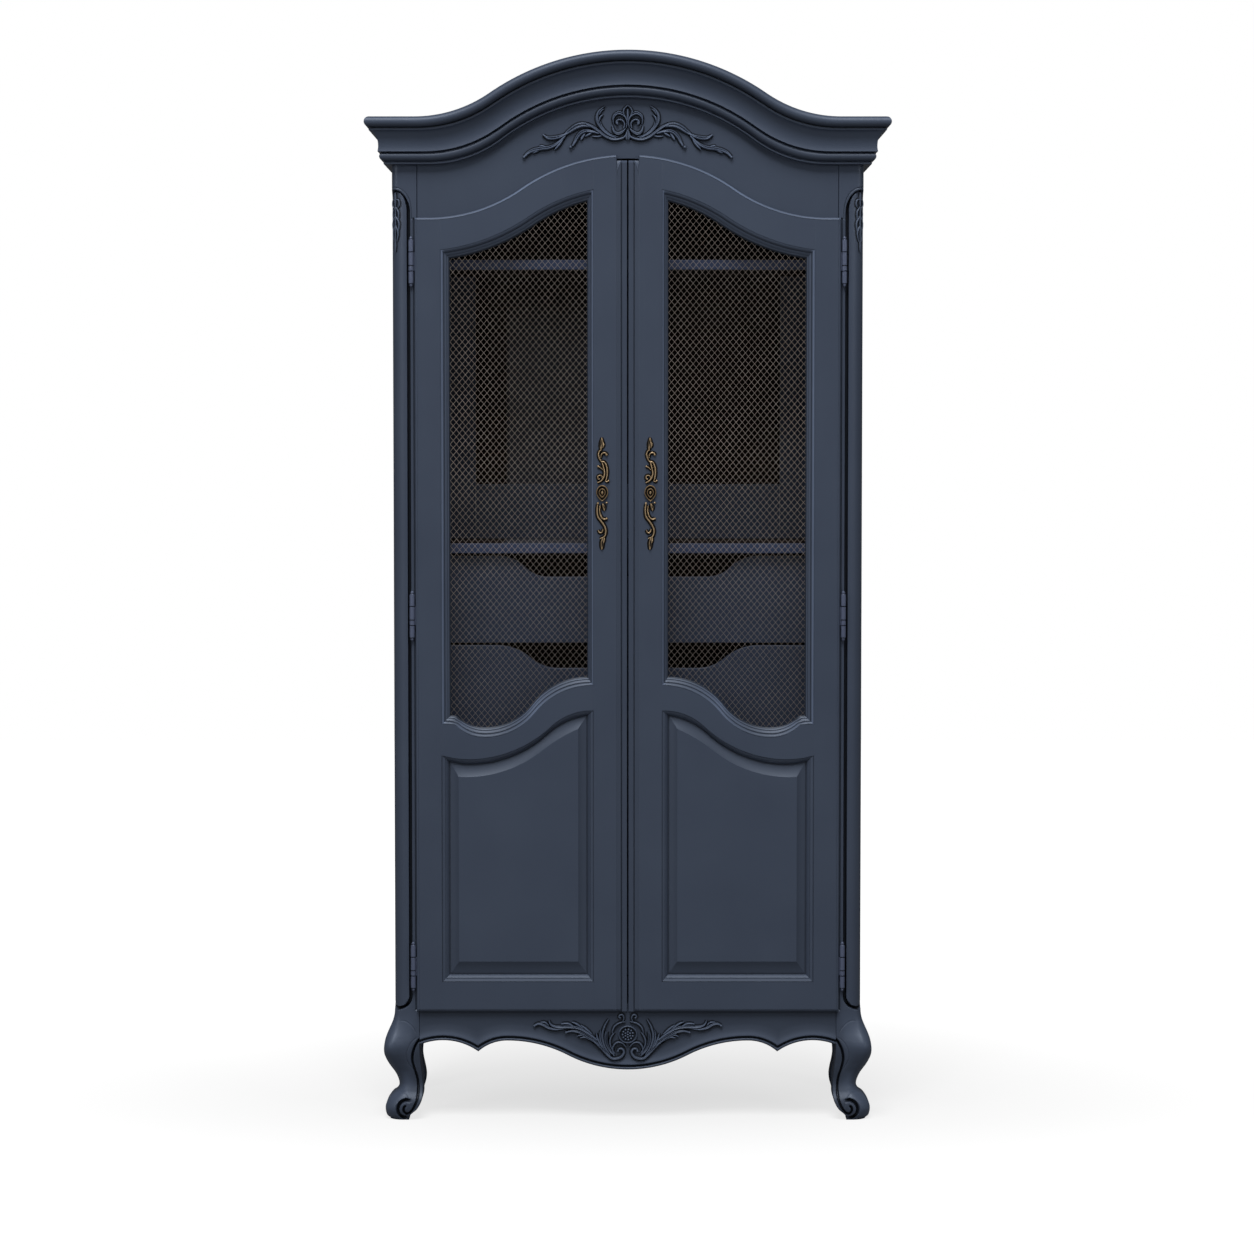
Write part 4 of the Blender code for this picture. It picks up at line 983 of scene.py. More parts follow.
# Mouldings as (share of the way in, depth), with a third value where painted shade darkens a quirk or the inner lip,
# and a fourth where the uprights take another painted tone
MESH_MOULDING = (
    (0, 0), (0.02, 0.9, 0.35, 0.6), (0.06, 0.9, 0.35, 0.6), (0.08, 0.4, LEVEL, 0.9), (0.15, 0.7, LEVEL, 1.2),
    (0.25, 1.9, LEVEL, 1.1), (0.33, 3.4), (0.36, 5.0, 0.25), (0.43, 5.0, 0.25), (0.45, 4.6), (0.56, 5.7),
    (0.66, 7.2), (0.68, 8.2, 0.35), (0.73, 8.2, 0.35), (0.75, 7.9), (0.86, 9.4), (0.88, 9.8, 0.1),
    (0.96, 11.2, 0.1), (1, 11.8, 0.1))
PANEL_MOULDING = (
    (0, 0), (0.02, 1.2, 0.3), (0.09, 1.2, 0.3), (0.11, 0.8), (0.40, 3.0), (0.43, 4.2, 0.45), (0.50, 4.2, 0.45),
    (0.52, 4.0), (0.66, 6.2), (0.82, 9.4), (0.85, 11.4, 0.25), (1, 11.4, 0.25))
# Painted light and shade of the mouldings' upright, lower and upper lengths, as shares of the plain one
MESH_TONES = (1.18, 0.92, 1.06)
PANEL_TONES = (1.06, 1.0, 1.12)
# How much lighter the lower length's painted tone is where it slopes
FOOT_SLOPE = 2.5
# Shares of the mouldings' width at which the rabbet behind them, the mesh's bead and the panel's flange start
RABBET_SHARE = 0.58
BEAD_SHARE = RABBET_SHARE + 0.02
FLANGE_SHARE = 0.62
FLANGE_THICK = 8 * MM
# Lower panel: heights of its sill, foot and field, and how far its moulding and field reach from the centre
PANEL_SILL = 0.2940
PANEL_FOOT = 0.3122
FIELD_FOOT = 0.3380
PANEL_OUT = 0.3743
PANEL_IN = 0.0872
FIELD_OUT = 0.3565
FIELD_IN = 0.1045
# Panel's bevel: share of the way from the moulding to the field, depth below the face, tone of painted shade
PANEL_BEVEL = (
    (0, 11.4, 0.25), (0.01, 10.9, 0.4), (0.05, 10.6, 0.53), (0.25, 9.6, 0.53), (0.50, 7.9, 0.53), (0.75, 5.7, 0.53),
    (0.98, 2.9, 0.53), (1, 2.6))


def door_member(side, stations, low, high, foot=False, head=False):
    """Stile or rail: moulded along the door's own edges, eased at its seams, lapped behind."""
    rings = []
    for s in stations:
        bottom, top = low(s), high(s)
        lean = math.hypot(1, (high(s + MM) - high(s - MM)) / (2 * MM)) if head else 1
        rows = [bottom + far * MM for far, _ in DOOR_EDGE] if foot else [bottom]
        rows += [top - far * MM * lean for far, _ in reversed(DOOR_EDGE)] if head else [top]
        level = max(along(DOOR_EDGE, DOOR_OUT - s), along(STRIP, s), along(SEAM, abs(s - SEAM_OUT)),
                    along(SEAM, abs(s - SEAM_IN)))
        # Painted shade on the strip, painted highlight on the ridge of the outer edge and of the head
        painted_shading = next((tone for far, _, tone in STRIP if s <= (far + 0.05) * MM), LEVEL)
        if EDGE_RIDGE[0] < (DOOR_OUT - s) / MM < EDGE_RIDGE[1]:
            painted_shading = EDGE_TONE
        ring = []
        for z in rows:
            depth, tone = level, painted_shading
            if foot:
                depth = max(depth, level + along(DOOR_EDGE, z - bottom) * (level < SUNK_FACE))
            if head:
                far = (top - z) / lean
                depth = max(depth, level + along(DOOR_EDGE, far) * (level < SUNK_FACE))
                if EDGE_RIDGE[0] < far / MM < EDGE_RIDGE[1] and lean < STEEPEST:
                    tone = HEAD_TONE + HEAD_SLOPE * (lean - 1)
            ring.append((side * s, DOOR_FACE + min(depth, DEEPEST_FACE), z, tone))
        deep = LAP_FACE if DOOR_OUT - s < LAP_SIDE else DOOR_BACK
        behind = [(LAP_FACE, top), (LAP_FACE, top - LAP_END), (deep, top - LAP_END)] if head else [(deep, top)]
        if foot:
            behind += [(deep, bottom + LAP_END), (LAP_FACE, bottom + LAP_END), (LAP_FACE, bottom)]
        else:
            behind += [(deep, bottom)]
        rings.append(ring + [(side * s, y, z) for y, z in behind])
    return loft(rings)


def loop(inner, outer, low, high):
    """Outline of a door opening, from its lower inner corner round."""
    stations = spaced(inner, outer, CURVE_STEPS)
    return [(s, low(s)) for s in stations] + [(s, high(s)) for s in reversed(stations)]


def between(start, stop, share):
    """Outline part of the way from one outline to another."""
    return [(a + (c - a) * share, b + (d - b) * share) for (a, b), (c, d) in zip(start, stop)]


def door_moulding(side, outer, inner, profile, tones):
    """Mitred moulding between two outlines, with a rabbet behind its inner edge."""
    upright, foot, head = tones
    half = len(outer) // 2
    slopes = [math.hypot(1, (after[1] - before[1]) / (after[0] - before[0])) - 1
              for before, after in zip(outer[:half - 2], outer[2:half])]
    shares = [upright] + [foot * (1 + FOOT_SLOPE * slope) for slope in slopes] + [upright]
    shares += [upright] + [head] * (half - 2) + [upright]
    levels = [(share, DOOR_FACE + depth * MM, *(painted_shading or [LEVEL])) for share, depth, *painted_shading in profile]
    levels += [(share, y, LEVEL) for share, y in ((1, RABBET_FACE), (RABBET_SHARE, RABBET_FACE),
                                                  (RABBET_SHARE, DOOR_BACK), (0, DOOR_BACK))]
    # A level may have a second painted tone of its own for the uprights, which start at the corners
    rows = [[(side * s, y, z, painted_shading[-1 if tone == upright else 0] * tone)
             for (s, z), tone in zip(between(outer, inner, share), shares)]
            for share, y, *painted_shading in levels]
    rings = [list(ring) for ring in zip(*rows)]
    return loft(rings + rings[:1], capped=False)


def make_door(word, side):
    """Stiles, rails, mouldings, raised panel and mesh beads of one door."""
    body = f"{word}_door"

    def bottom(s):
        return DOOR_BOTTOM

    def strip_head(s):
        return door_head(max(s, STRIP_END)) - (STRIP_DROP if s < STRIP_END else 0)

    lap, step, eased = DOOR_OUT - LAP_SIDE, 0.1 * MM, 0.6 * MM
    outer_stations = [DOOR_OUT - far * MM for far, _ in DOOR_EDGE] + [lap + step, lap - step]
    outer_stations += spaced(lap - 6 * MM, SEAM_OUT + eased, 8) + [SEAM_OUT]
    inner_stations = [SEAM_IN, SEAM_IN - eased] + spaced(SEAM_IN - 8 * MM, 26 * MM, 6)
    inner_stations += [far * MM for far, *_ in reversed(STRIP)]
    rail_stations = [SEAM_OUT] + spaced(SEAM_OUT - eased, SEAM_IN + eased, CURVE_STEPS) + [SEAM_IN]
    members = (
        ("hinge_stile", outer_stations, bottom, door_head, True, True),
        ("meeting_stile", inner_stations, bottom, strip_head, True, True),
        ("top_rail", rail_stations, lambda s: arched(MOULDING_TOP, s), door_head, False, True),
        ("mid_rail", rail_stations, lambda s: waved(RAIL_FOOT, s), lambda s: waved(RAIL_TOP, s), False, False),
        ("bottom_rail", rail_stations, bottom, lambda s: PANEL_SILL, True, False),
    )
    for part, stations, low, high, foot, head in members:
        shape = door_member(side, stations, low, high, foot, head)
        piece(f"{body}_{part}_timber", [shape], CARVED, body, (f"{body}_{part}",), sharp=50)
    mesh_outer = loop(SEAM_IN, SEAM_OUT, lambda s: waved(RAIL_TOP, s), lambda s: arched(MOULDING_TOP, s))
    mesh_inner = loop(MEETING_IN, STILE_IN, lambda s: waved(MESH_FOOT, s), lambda s: arched(MESH_TOP, s))
    panel_outer = loop(SEAM_IN, SEAM_OUT, lambda s: PANEL_SILL, lambda s: waved(RAIL_FOOT, s))
    panel_inner = loop(PANEL_IN, PANEL_OUT, lambda s: PANEL_FOOT, lambda s: waved(PANEL_HEAD, s))
    mesh_frame = door_moulding(side, mesh_outer, mesh_inner, MESH_MOULDING, MESH_TONES)
    piece(f"{body}_mesh_moulding", [mesh_frame], CARVED, body, sharp=30)
    panel_frame = door_moulding(side, panel_outer, panel_inner, PANEL_MOULDING, PANEL_TONES)
    piece(f"{body}_panel_moulding", [panel_frame], CARVED, body, sharp=30)
    field = loop(FIELD_IN, FIELD_OUT, lambda s: FIELD_FOOT, lambda s: waved(FIELD_HEAD, s))
    flange = between(panel_outer, panel_inner, FLANGE_SHARE)
    levels = [(flange, RABBET_FACE + FLANGE_THICK), (flange, RABBET_FACE + FIT), (panel_inner, RABBET_FACE + FIT)]
    levels += [(between(panel_inner, field, share), DOOR_FACE + depth * MM, *painted_shading)
               for share, depth, *painted_shading in PANEL_BEVEL]
    panel = loft([[(side * s, y, z, *painted_shading) for s, z in outline] for outline, y, *painted_shading in levels])
    piece(f"{body}_raised_panel", [panel], CARVED, body, (f"{body}_panel",), sharp=12)
    # Bead behind the mesh: share of the way in, and depth
    bead_outer = between(mesh_outer, mesh_inner, BEAD_SHARE)
    bead = ((0, MESH_BACK + 0.8 * MM), (1, MESH_BACK + 0.8 * MM), (1, MESH_BACK + 2.4 * MM),
            (0.7, DOOR_BACK - 0.9 * MM), (0.3, DOOR_BACK - 0.4 * MM), (0, DOOR_BACK - 0.4 * MM))
    rows = [[(side * s, y, z) for s, z in between(bead_outer, mesh_inner, share)] for share, y in bead]
    rings = [list(ring) for ring in zip(*rows)]
    piece(f"{body}_mesh_bead", [loft(rings + rings[:1], capped=False)], PAINT, body, sharp=30)


# Woven wire: size of a diamond and of the wire, and how far the ends run in behind the moulding
DIAMOND_WIDE = 12.9 * MM
DIAMOND_TALL = 15.3 * MM
WIRE_RADIUS = 0.42 * MM
WIRE_SIDES = 6
WIRE_HIDDEN = 7.5 * MM
# Start in front of the wires, and length, of the rays that find the opening
RAY_START = 50 * MM
RAY_LENGTH = 200 * MM


def woven_wire_tree():
    """Two families of slanting wires that pass over and under each other, kept inside an opening."""
    tree = bpy.data.node_groups.new("woven_wire", "GeometryNodeTree")
    sockets = {}
    for name, kind in (("Opening", "Geometry"), ("Diamond width", "Float"), ("Diamond height", "Float"),
                       ("Wire radius", "Float"), ("Corner", "Vector"), ("Wires", "Int"), ("Crossings", "Int"),
                       ("Finish", "Material")):
        socket = tree.interface.new_socket(name, in_out="INPUT", socket_type="NodeSocket" + kind)
        sockets[name] = socket.identifier
    tree.interface.new_socket("Mesh", in_out="OUTPUT", socket_type="NodeSocketGeometry")
    given = add(tree, "NodeGroupInput").outputs
    half_wide, half_tall = (add(tree, "ShaderNodeMath", {0: given[name], 1: 0.5}, operation="MULTIPLY").outputs[0]
                            for name in ("Diamond width", "Diamond height"))
    step = add(tree, "ShaderNodeCombineXYZ", {"X": given["Diamond width"]}).outputs[0]
    starts = add(tree, "GeometryNodeMeshLine", {"Count": given["Wires"], "Start Location": given["Corner"],
                                                "Offset": step}, mode="OFFSET").outputs[0]
    index = add(tree, "GeometryNodeInputIndex").outputs[0]
    odd = add(tree, "ShaderNodeMath", {0: index, 1: 2.0}, operation="MODULO").outputs[0]
    over = add(tree, "ShaderNodeMath", {0: odd, 1: -2.0, 2: 1.0}, operation="MULTIPLY_ADD").outputs[0]
    place = add(tree, "GeometryNodeInputPosition").outputs[0]
    eye = add(tree, "ShaderNodeVectorMath", {0: place, 1: (0, -RAY_START, 0)}, operation="ADD").outputs[0]
    families = add(tree, "GeometryNodeJoinGeometry")
    for lean in (1.0, -1.0):
        sideways = add(tree, "ShaderNodeMath", {0: half_wide, 1: lean}, operation="MULTIPLY").outputs[0]
        slant = add(tree, "ShaderNodeCombineXYZ", {"X": sideways, "Z": half_tall}).outputs[0]
        wire = add(tree, "GeometryNodeMeshLine", {"Count": given["Crossings"], "Offset": slant},
                   mode="OFFSET").outputs[0]
        lift = add(tree, "ShaderNodeMath", {0: over, 1: given["Wire radius"]}, operation="MULTIPLY").outputs[0]
        sided = add(tree, "ShaderNodeMath", {0: lift, 1: lean}, operation="MULTIPLY").outputs[0]
        weave = add(tree, "ShaderNodeCombineXYZ", {"Y": sided}).outputs[0]
        woven = add(tree, "GeometryNodeSetPosition", {"Geometry": wire, "Offset": weave}).outputs[0]
        copies = add(tree, "GeometryNodeInstanceOnPoints", {"Points": starts, "Instance": woven}).outputs[0]
        family = add(tree, "GeometryNodeRealizeInstances", {"Geometry": copies}).outputs[0]
        tree.links.new(family, families.inputs[0])
    ray = add(tree, "GeometryNodeRaycast", {"Target Geometry": given["Opening"], "Source Position": eye,
                                            "Ray Direction": (0, 1, 0), "Ray Length": RAY_LENGTH})
    outside = add(tree, "FunctionNodeBooleanMath", {0: ray.outputs["Is Hit"]}, operation="NOT").outputs[0]
    kept = add(tree, "GeometryNodeDeleteGeometry", {"Geometry": families.outputs[0],
                                                    "Selection": outside}).outputs[0]
    lines = add(tree, "GeometryNodeMeshToCurve", {"Mesh": kept}).outputs[0]
    round_wire = add(tree, "GeometryNodeCurvePrimitiveCircle", {"Resolution": WIRE_SIDES,
                                                                "Radius": given["Wire radius"]})
    tubes = add(tree, "GeometryNodeCurveToMesh", {"Curve": lines, "Profile Curve": round_wire.outputs[0],
                                                  "Fill Caps": True}).outputs[0]
    smooth = add(tree, "GeometryNodeSetShadeSmooth", {"Geometry": tubes}).outputs[0]
    whole = add(tree, "GeometryNodeRealizeInstances", {"Geometry": smooth}).outputs[0]
    painted = add(tree, "GeometryNodeSetMaterial", {"Geometry": whole, "Material": given["Finish"]}).outputs[0]
    add(tree, "NodeGroupOutput", {0: painted})
    return tree, sockets


def grown(base, tree, sockets, values):
    """Plain mesh that a node tree makes from a base mesh."""
    thing = bpy.data.objects.new("base", base)
    bpy.context.collection.objects.link(thing)
    maker = thing.modifiers.new("maker", "NODES")
    maker.node_group = tree
    for name, value in values.items():
        maker[sockets[name]] = value
    bpy.context.view_layer.update()
    mesh = bpy.data.meshes.new_from_object(thing.evaluated_get(bpy.context.evaluated_depsgraph_get()))
    thing.modifiers.remove(maker)
    bpy.data.objects.remove(thing)
    return mesh


def make_meshes():
    """Woven wire mesh in the upper opening of each door."""
    tree, sockets = woven_wire_tree()
    middle = (MESH_FRONT + MESH_BACK) / 2
    outline = loop(MEETING_IN - WIRE_HIDDEN, STILE_IN + WIRE_HIDDEN, lambda s: waved(MESH_FOOT, s) - WIRE_HIDDEN,
                   lambda s: arched(MESH_TOP, s) + WIRE_HIDDEN)
    low = MESH_FOOT.valley - DIAMOND_TALL
    crossings = math.ceil((CROWN - MESH_TOP.drop - low) / DIAMOND_TALL * 2) + 2
    spread = crossings * DIAMOND_WIDE / 2
    wires = math.ceil((STILE_IN + 2 * spread) / DIAMOND_WIDE)
    for word, side in SIDES:
        opening = bpy.data.meshes.new("opening")
        opening.from_pydata([(side * s, middle, z) for s, z in outline], [], [tuple(range(len(outline)))])
        start = MEETING_IN - spread if side > 0 else -STILE_IN - spread
        mesh = grown(opening, tree, sockets, {
            "Diamond width": DIAMOND_WIDE, "Diamond height": DIAMOND_TALL, "Wire radius": WIRE_RADIUS,
            "Corner": (start, middle, low), "Wires": wires, "Crossings": crossings, "Finish": WIRE.material})
        settle(f"{word}_door_woven_wire", mesh, WIRE, f"{word}_door", (f"{word}_door_mesh",))


# Hinges: heights from the middle and radii of the turned barrels in millimetres, with dark values that paint shade
# into the ring grooves
BARREL = 5.3
KNUCKLE = (
    (-19.7, 3.4, 0.1), (-18.6, BARREL), (-9.9, BARREL), (-9.4, 3.8, 0.1), (-7.6, 3.8, 0.1), (-7.1, BARREL),
    (18.6, BARREL), (19.7, 3.4, 0.1))
POST_KNUCKLE = ((20.1, 2.0, 0.1), (20.3, 3.4, 0.1), (21.4, BARREL), (44.4, BARREL), (46.0, 4.0, 0.3))
UPPER_FINIAL = ((46.2, 3.0), (47.0, 2.6), (47.8, 3.3), (49.4, 3.6), (51.2, 2.8), (52.2, 1.6), (52.9, 0.4))
LOWER_FINIAL = ((46.2, 3.0), (47.0, 2.5), (48.4, 3.4), (50.0, 3.2), (51.4, 2.2), (52.9, 0.8))
ROUND_SIDES = 20
# Let-in plates: half lengths of the post's leaf and the door's blade, half thickness of the leaf and where it starts
# behind the axis, where the blade starts beside the axis and its two faces behind it
LEAF_HALF = 45.5 * MM
LEAF_THIN = 0.8 * MM
LEAF_START = 4.9 * MM
BLADE_HALF = 19.5 * MM
BLADE_START = 3 * MM
BLADE_FACES = (2.2 * MM, 3.8 * MM)
PLATE_EASED = 0.3 * MM


def turned(x, y, z, profile):
    """Turned shape about an upright axis; profile as (height, radius) in millimetres, with painted shade where given.
    """
    turns = [2 * math.pi * i / ROUND_SIDES for i in range(ROUND_SIDES)]
    return loft([[(x + r * MM * math.cos(a), y + r * MM * math.sin(a), z + h * MM, *dark) for a in turns]
                 for h, r, *dark in profile])


def make_hinges():
    """Three hinges to a door: a barrel with rings and finials, and its let-in blades."""
    for word, side in SIDES:
        for place in ("bottom", "middle", "top"):
            name = f"{word}_{place}_hinge"
            low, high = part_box(f"{name}_post_half")
            x = (low.x + high.x) / 2
            y = low.y + (high.x - low.x) / 2
            z = (low.z + high.z) / 2
            lower = [(-h, *rest) for h, *rest in reversed(POST_KNUCKLE + LOWER_FINIAL)]
            upper = list(POST_KNUCKLE + UPPER_FINIAL)
            leaf = board(spaced(z - LEAF_HALF, z + LEAF_HALF, 2),
                         lambda at: (x - LEAF_THIN, x + LEAF_THIN, y + LEAF_START, high.y), PLATE_EASED, standing)
            piece(f"{name}_pin_half", [turned(x, y, z, lower + upper), leaf], IRON, "case",
                  (f"{name}_post_half",), sharp=50)
            door_low, door_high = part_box(f"{name}_door_half")
            inner = door_high.x if side < 0 else door_low.x
            ends = sorted((inner, x - side * BLADE_START))
            blade = board(spaced(z - BLADE_HALF, z + BLADE_HALF, 2),
                          lambda at: (*ends, *[y + far for far in BLADE_FACES]), PLATE_EASED, standing)
            piece(f"{name}_sleeve_half", [turned(x, y, z, KNUCKLE), blade], IRON, f"{word}_door",
                  (f"{name}_door_half",), sharp=50)


# Carvings and handles: strokes in millimetres as half widths at start, middle and end, rise, and points
FRIEZE_ROOT = 2.100
FRIEZE_STROKES = (
    ((1.3, 2, 1.3), 7, ((3.2, -10.2), (1.5, 1.2), (4, 10), (10.3, 16.4), (18.7, 19.1), (26.3, 15.2),
                        (30.7, 7.5), (29.6, -1.9))),
    ((0.8, 1.7, 0.8), 5, ((32.2, 6.4), (28.8, 16.8), (18.1, 23.3), (9, 20.2))),
    ((1.7, 2.4, 2.3), 8, ((8.6, -11.2), (6.7, -2.9), (9.9, 3.9), (16.6, 7.1), (22.5, 4.4), (23.5, -0.4),
                          (20.4, -3.1))),
    ((1.3, 3.6, 1.5), 6, ((32, -6), (28.8, -17), (20.8, -22.2), (11.1, -18.1), (4.8, -11.4))),
    ((1.1, 2, 1.1), 6.5, ((0, 36.6), (5.9, 31.4), (9.2, 23.9), (7.4, 16.8), (2.1, 8.9))),
    ((1.3, 2.7, 1.7), 5.5, ((0, 29.3), (0, 18.9), (0, 6.4))),
    ((1.7, 6.5, 4.6), 8, ((0, -15), (0, -24.7), (0, -34.3))),
    ((1.9, 3.4, 3.2), 7.5, ((1.9, -19.5), (6.1, -28.3), (16.6, -33), (31.3, -33.7), (47.1, -27.4), (60.7, -17),
                            (73.4, -8.1), (86, -2.3))),
    ((2.3, 6.3, 2.1), 8, ((73.4, -8.1), (86, -4.4), (98, -4.4), (110.1, -9.1), (121.7, -17), (133.3, -25.1))),
    ((1.5, 3.6, 0.8), 8, ((25, -31), (40.8, -23.9), (53.8, -12.3), (63.3, 2.7), (63.9, 15.6), (58.9, 26.2),
                          (47.7, 35.1))),
    ((0.8, 1.6, 0.8), 5.5, ((19.8, -28.9), (35.5, -24.3), (46.9, -15.6), (54, -6.4), (57.4, 3.3))),
    ((1.1, 2.3, 0.8), 6, ((59.9, 3.3), (57.8, 11.4), (51.7, 17.7))),
    ((0.8, 1.9, 0.6), 5.5, ((59.9, 17.2), (56.1, 24.3), (49.4, 29.5))),
    ((0.8, 1.9, 0.8), 5, ((52.3, -26), (63.9, -28.1), (74.4, -27.2))),
    ((1.7, 4.2, 2.1), 8, ((60.7, -21.8), (74.4, -17.7), (87, -16.4), (97.7, -20.6), (105.3, -29.3),
                          (110.4, -39.3), (115.4, -48))),
    ((1.1, 2.7, 0.8), 6, ((74.4, -19.5), (81.8, -23.9), (88.9, -28.1))),
    ((1.1, 3.2, 1.1), 6, ((89.1, -21.6), (94.4, -28.9), (98.2, -35.7))),
    ((1.9, 4.4, 1.5), 8, ((128, -22.7), (142.7, -28.5), (155.3, -31.4), (166.9, -31), (176.4, -24.7))),
    ((1.9, 4.2, 2.7), 8, ((130.1, -26.4), (141.7, -37.8), (153.2, -46.3), (166.9, -51.5), (182.7, -53.4),
                          (196.3, -56.3), (207.9, -62.1), (215.9, -70))),
    ((0.8, 2.1, 0.8), 6, ((170.1, -50.1), (178.5, -47.6), (185.6, -48.4))),
    ((0.8, 2.5, 1.1), 6, ((180.6, -53.8), (191.1, -59), (198.2, -62.5))),
    ((1.3, 2.9, 1.1), 7, ((134.3, -31.8), (142.7, -44.3), (152.8, -55.5))),
)
# Beads as (across, up, radius, rise) in millimetres
FRIEZE_BALLS = (
    (21.7, 0.4, 2.7, 8.5), (119.2, -50.1, 3.6, 7.5), (216.7, -70.9, 3.4, 7), (175.9, -25.1, 2.5, 6.5))
APRON_ROOT = 0.178
APRON_STROKES = (
    ((1.3, 2.3, 1.7), 7, ((11.4, 29.8), (8.2, 37.1), (10.3, 44.3), (15.6, 45.6), (18.5, 41.3), (16.4, 37.9))),
    ((1.3, 2.5, 1.1), 6, ((5, 30.7), (17.4, 28.1), (27.3, 21.3), (32.2, 11.5), (32.8, 3.2))),
    ((1.3, 2.5, 1.7), 7, ((4.2, -22.6), (13, -14.1), (22.7, -13.4), (29.8, -20), (32, -29.8), (29.4, -38.3))),
    ((2.9, 3.2, 1.9), 8, ((45.8, -37.1), (37, -44.7), (28.2, -47.7), (15.6, -44.7), (8.2, -35.4), (10.9, -27.7),
                          (18.1, -26.8), (21.9, -31.9))),
    ((2.9, 4.2, 2.1), 8, ((36.4, -44.7), (46.9, -34.9), (59.5, -21.3), (73.1, -8.5), (87.9, 1.5), (102.6, 8.5),
                          (117.3, 10.9), (130.3, 8.5))),
    ((2.1, 3.8, 1.3), 8, ((64.7, -8.5), (81.6, 4.3), (96.3, 13.4), (108.9, 18.1), (125.7, 19.6), (142.5, 19.2),
                          (156.6, 20.9), (164.2, 26.4), (166.9, 33.7))),
    ((1.7, 3.4, 2.1), 7, ((136.2, 15.8), (154.1, 14.3), (168.2, 17.9), (179.9, 24.3), (189.6, 26.2),
                          (197.6, 22.6))),
    ((1.1, 2.3, 1.1), 5.5, ((167.7, 22.6), (174.9, 29), (184.6, 29.8))),
    ((1.1, 2.7, 0.8), 6.5, ((75.3, 3.8), (87.9, 14.9), (99.6, 23.9))),
    ((1.1, 2.7, 1.3), 6.5, ((94.2, 15.8), (106.8, 25.1), (118.1, 30.2))),
    ((1.1, 2.5, 1.9), 6, ((113.1, 20), (125.7, 26.4), (139.2, 26.4))),
    ((1.7, 3.4, 1.3), 7, ((58.4, -21.3), (76.3, -8.1), (89.1, -2.1), (100.5, -3.8))),
    ((0.8, 2.3, 1.1), 6, ((87.9, 0), (99.2, 2.1), (107.6, -0.6))),
    ((1.9, 4.2, 3.4), 7, ((28.2, -41.7), (38.5, -29.8), (45, -14.9), (46.2, -1.1), (45, 9.8))),
    ((1.3, 3.2, 1.3), 7.5, ((37.4, -39.2), (47.3, -25.6), (52.5, -10.6), (53.8, 4.3), (49, 21.3),
                            (40.8, 36.2))),
    ((1.1, 2.7, 1.1), 6.5, ((47.9, -31.9), (57.8, -18.1), (63.9, -5.1), (66.8, 6.4))),
    ((0.8, 2.3, 0.8), 6, ((43.7, -36.2), (55.5, -16.2), (58.9, -1.1), (57.2, 12.8))),
    ((1.1, 2.5, 1.1), 6.5, ((26.9, -37.1), (35.5, -23.4), (37.6, -10.6), (34.1, 0), (28.2, 7.7))),
)
APRON_BALLS = (
    (20.6, -31.5, 2.5, 8.5), (16.4, 39.2, 2.3, 7.5), (139.6, 26.2, 2.5, 6.5), (130.7, 8.1, 2.9, 7.5),
    (197.6, 22.2, 2.9, 7))
HANDLE_STROKES = (
    ((1.4, 3.8, 0.8), 4.5, ((-2.4, 90), (-1.8, 101), (-0.4, 110.2), (-0.7, 117.5))),
    ((1.0, 2.2, 0.8), 4.0, ((1.3, 95.5), (3.3, 102), (1.8, 109.2))),
    ((1.4, 2.0, 1.8), 4.5, ((-1.1, 92.2), (-5.9, 87.8), (-7.3, 80.8), (-4.8, 72.5), (-1.5, 67))),
    ((1.2, 2.0, 2.2), 4.5, ((-2.9, 74.4), (-1.1, 81.7), (4, 85.4), (8.8, 83.5), (9.9, 80.4))),
    ((1.6, 2.4, 1.6), 5.0, ((-1.1, 67), (5, 65.7), (9.5, 57), (11, 44), (9.5, 32), (7.3, 24.8))),
    ((1.6, 2.4, 1.6), 5.0, ((0, 66), (3.1, 55), (5.5, 42.2), (2.2, 31.2), (-3.3, 25.7), (-9.5, 22.4))),
    ((1.0, 1.6, 1.6), 4.0, ((1.3, 49.6), (-3.3, 54.2), (-7.7, 56.5))),
    ((1.2, 1.8, 1.4), 4.0, ((0.7, 29.4), (0, 35.6), (-4.4, 38.2), (-8.4, 35.6), (-8.1, 30.8), (-5.1, 30.3))),
    ((1.0, 1.6, 1.6), 4.0, ((8.1, 25.7), (11, 24.8), (13.6, 26.6))),
    ((1.0, 3.6, 1.0), 4.5, ((1.3, -21), (4, -28.5), (5, -36.4))),
    ((1.8, 2.6, 1.6), 5.0, ((-9.2, -23), (-10.3, -36), (-8.4, -48.7), (-1.1, -58.8), (5.5, -69), (8.1, -80),
                            (5, -90), (-4.2, -94.7))),
    ((1.4, 2.2, 2.4), 4.5, ((-4, -24.8), (-5.1, -36.7), (-1.8, -48.7), (4.4, -54), (9.9, -52.5))),
    ((1.2, 2.0, 1.4), 4.0, ((2.2, -74.4), (0, -80.8), (-4.8, -82), (-8.4, -76.4))),
    ((1.4, 4.0, 1.6), 4.5, ((2.2, -91.8), (0.4, -101), (0, -109.2), (-0.6, -117.5))),
    ((1.0, 2.0, 0.8), 4.0, ((5, -91.8), (4.4, -99), (2.6, -105.6))),
)
HANDLE_BALLS = (
    (9.7, 81, 2.6, 5.0), (-7.9, 56.5, 2.5, 5.0), (13.4, 26.6, 2.4, 5.0), (-8.8, -20.7, 2.8, 5.5),
    (9.5, -19.3, 2.6, 5.0), (9.8, -52.6, 2.6, 5.0))
# Rise of the foot of carved shells, a little way into the ground below them
ROOTED = -0.5
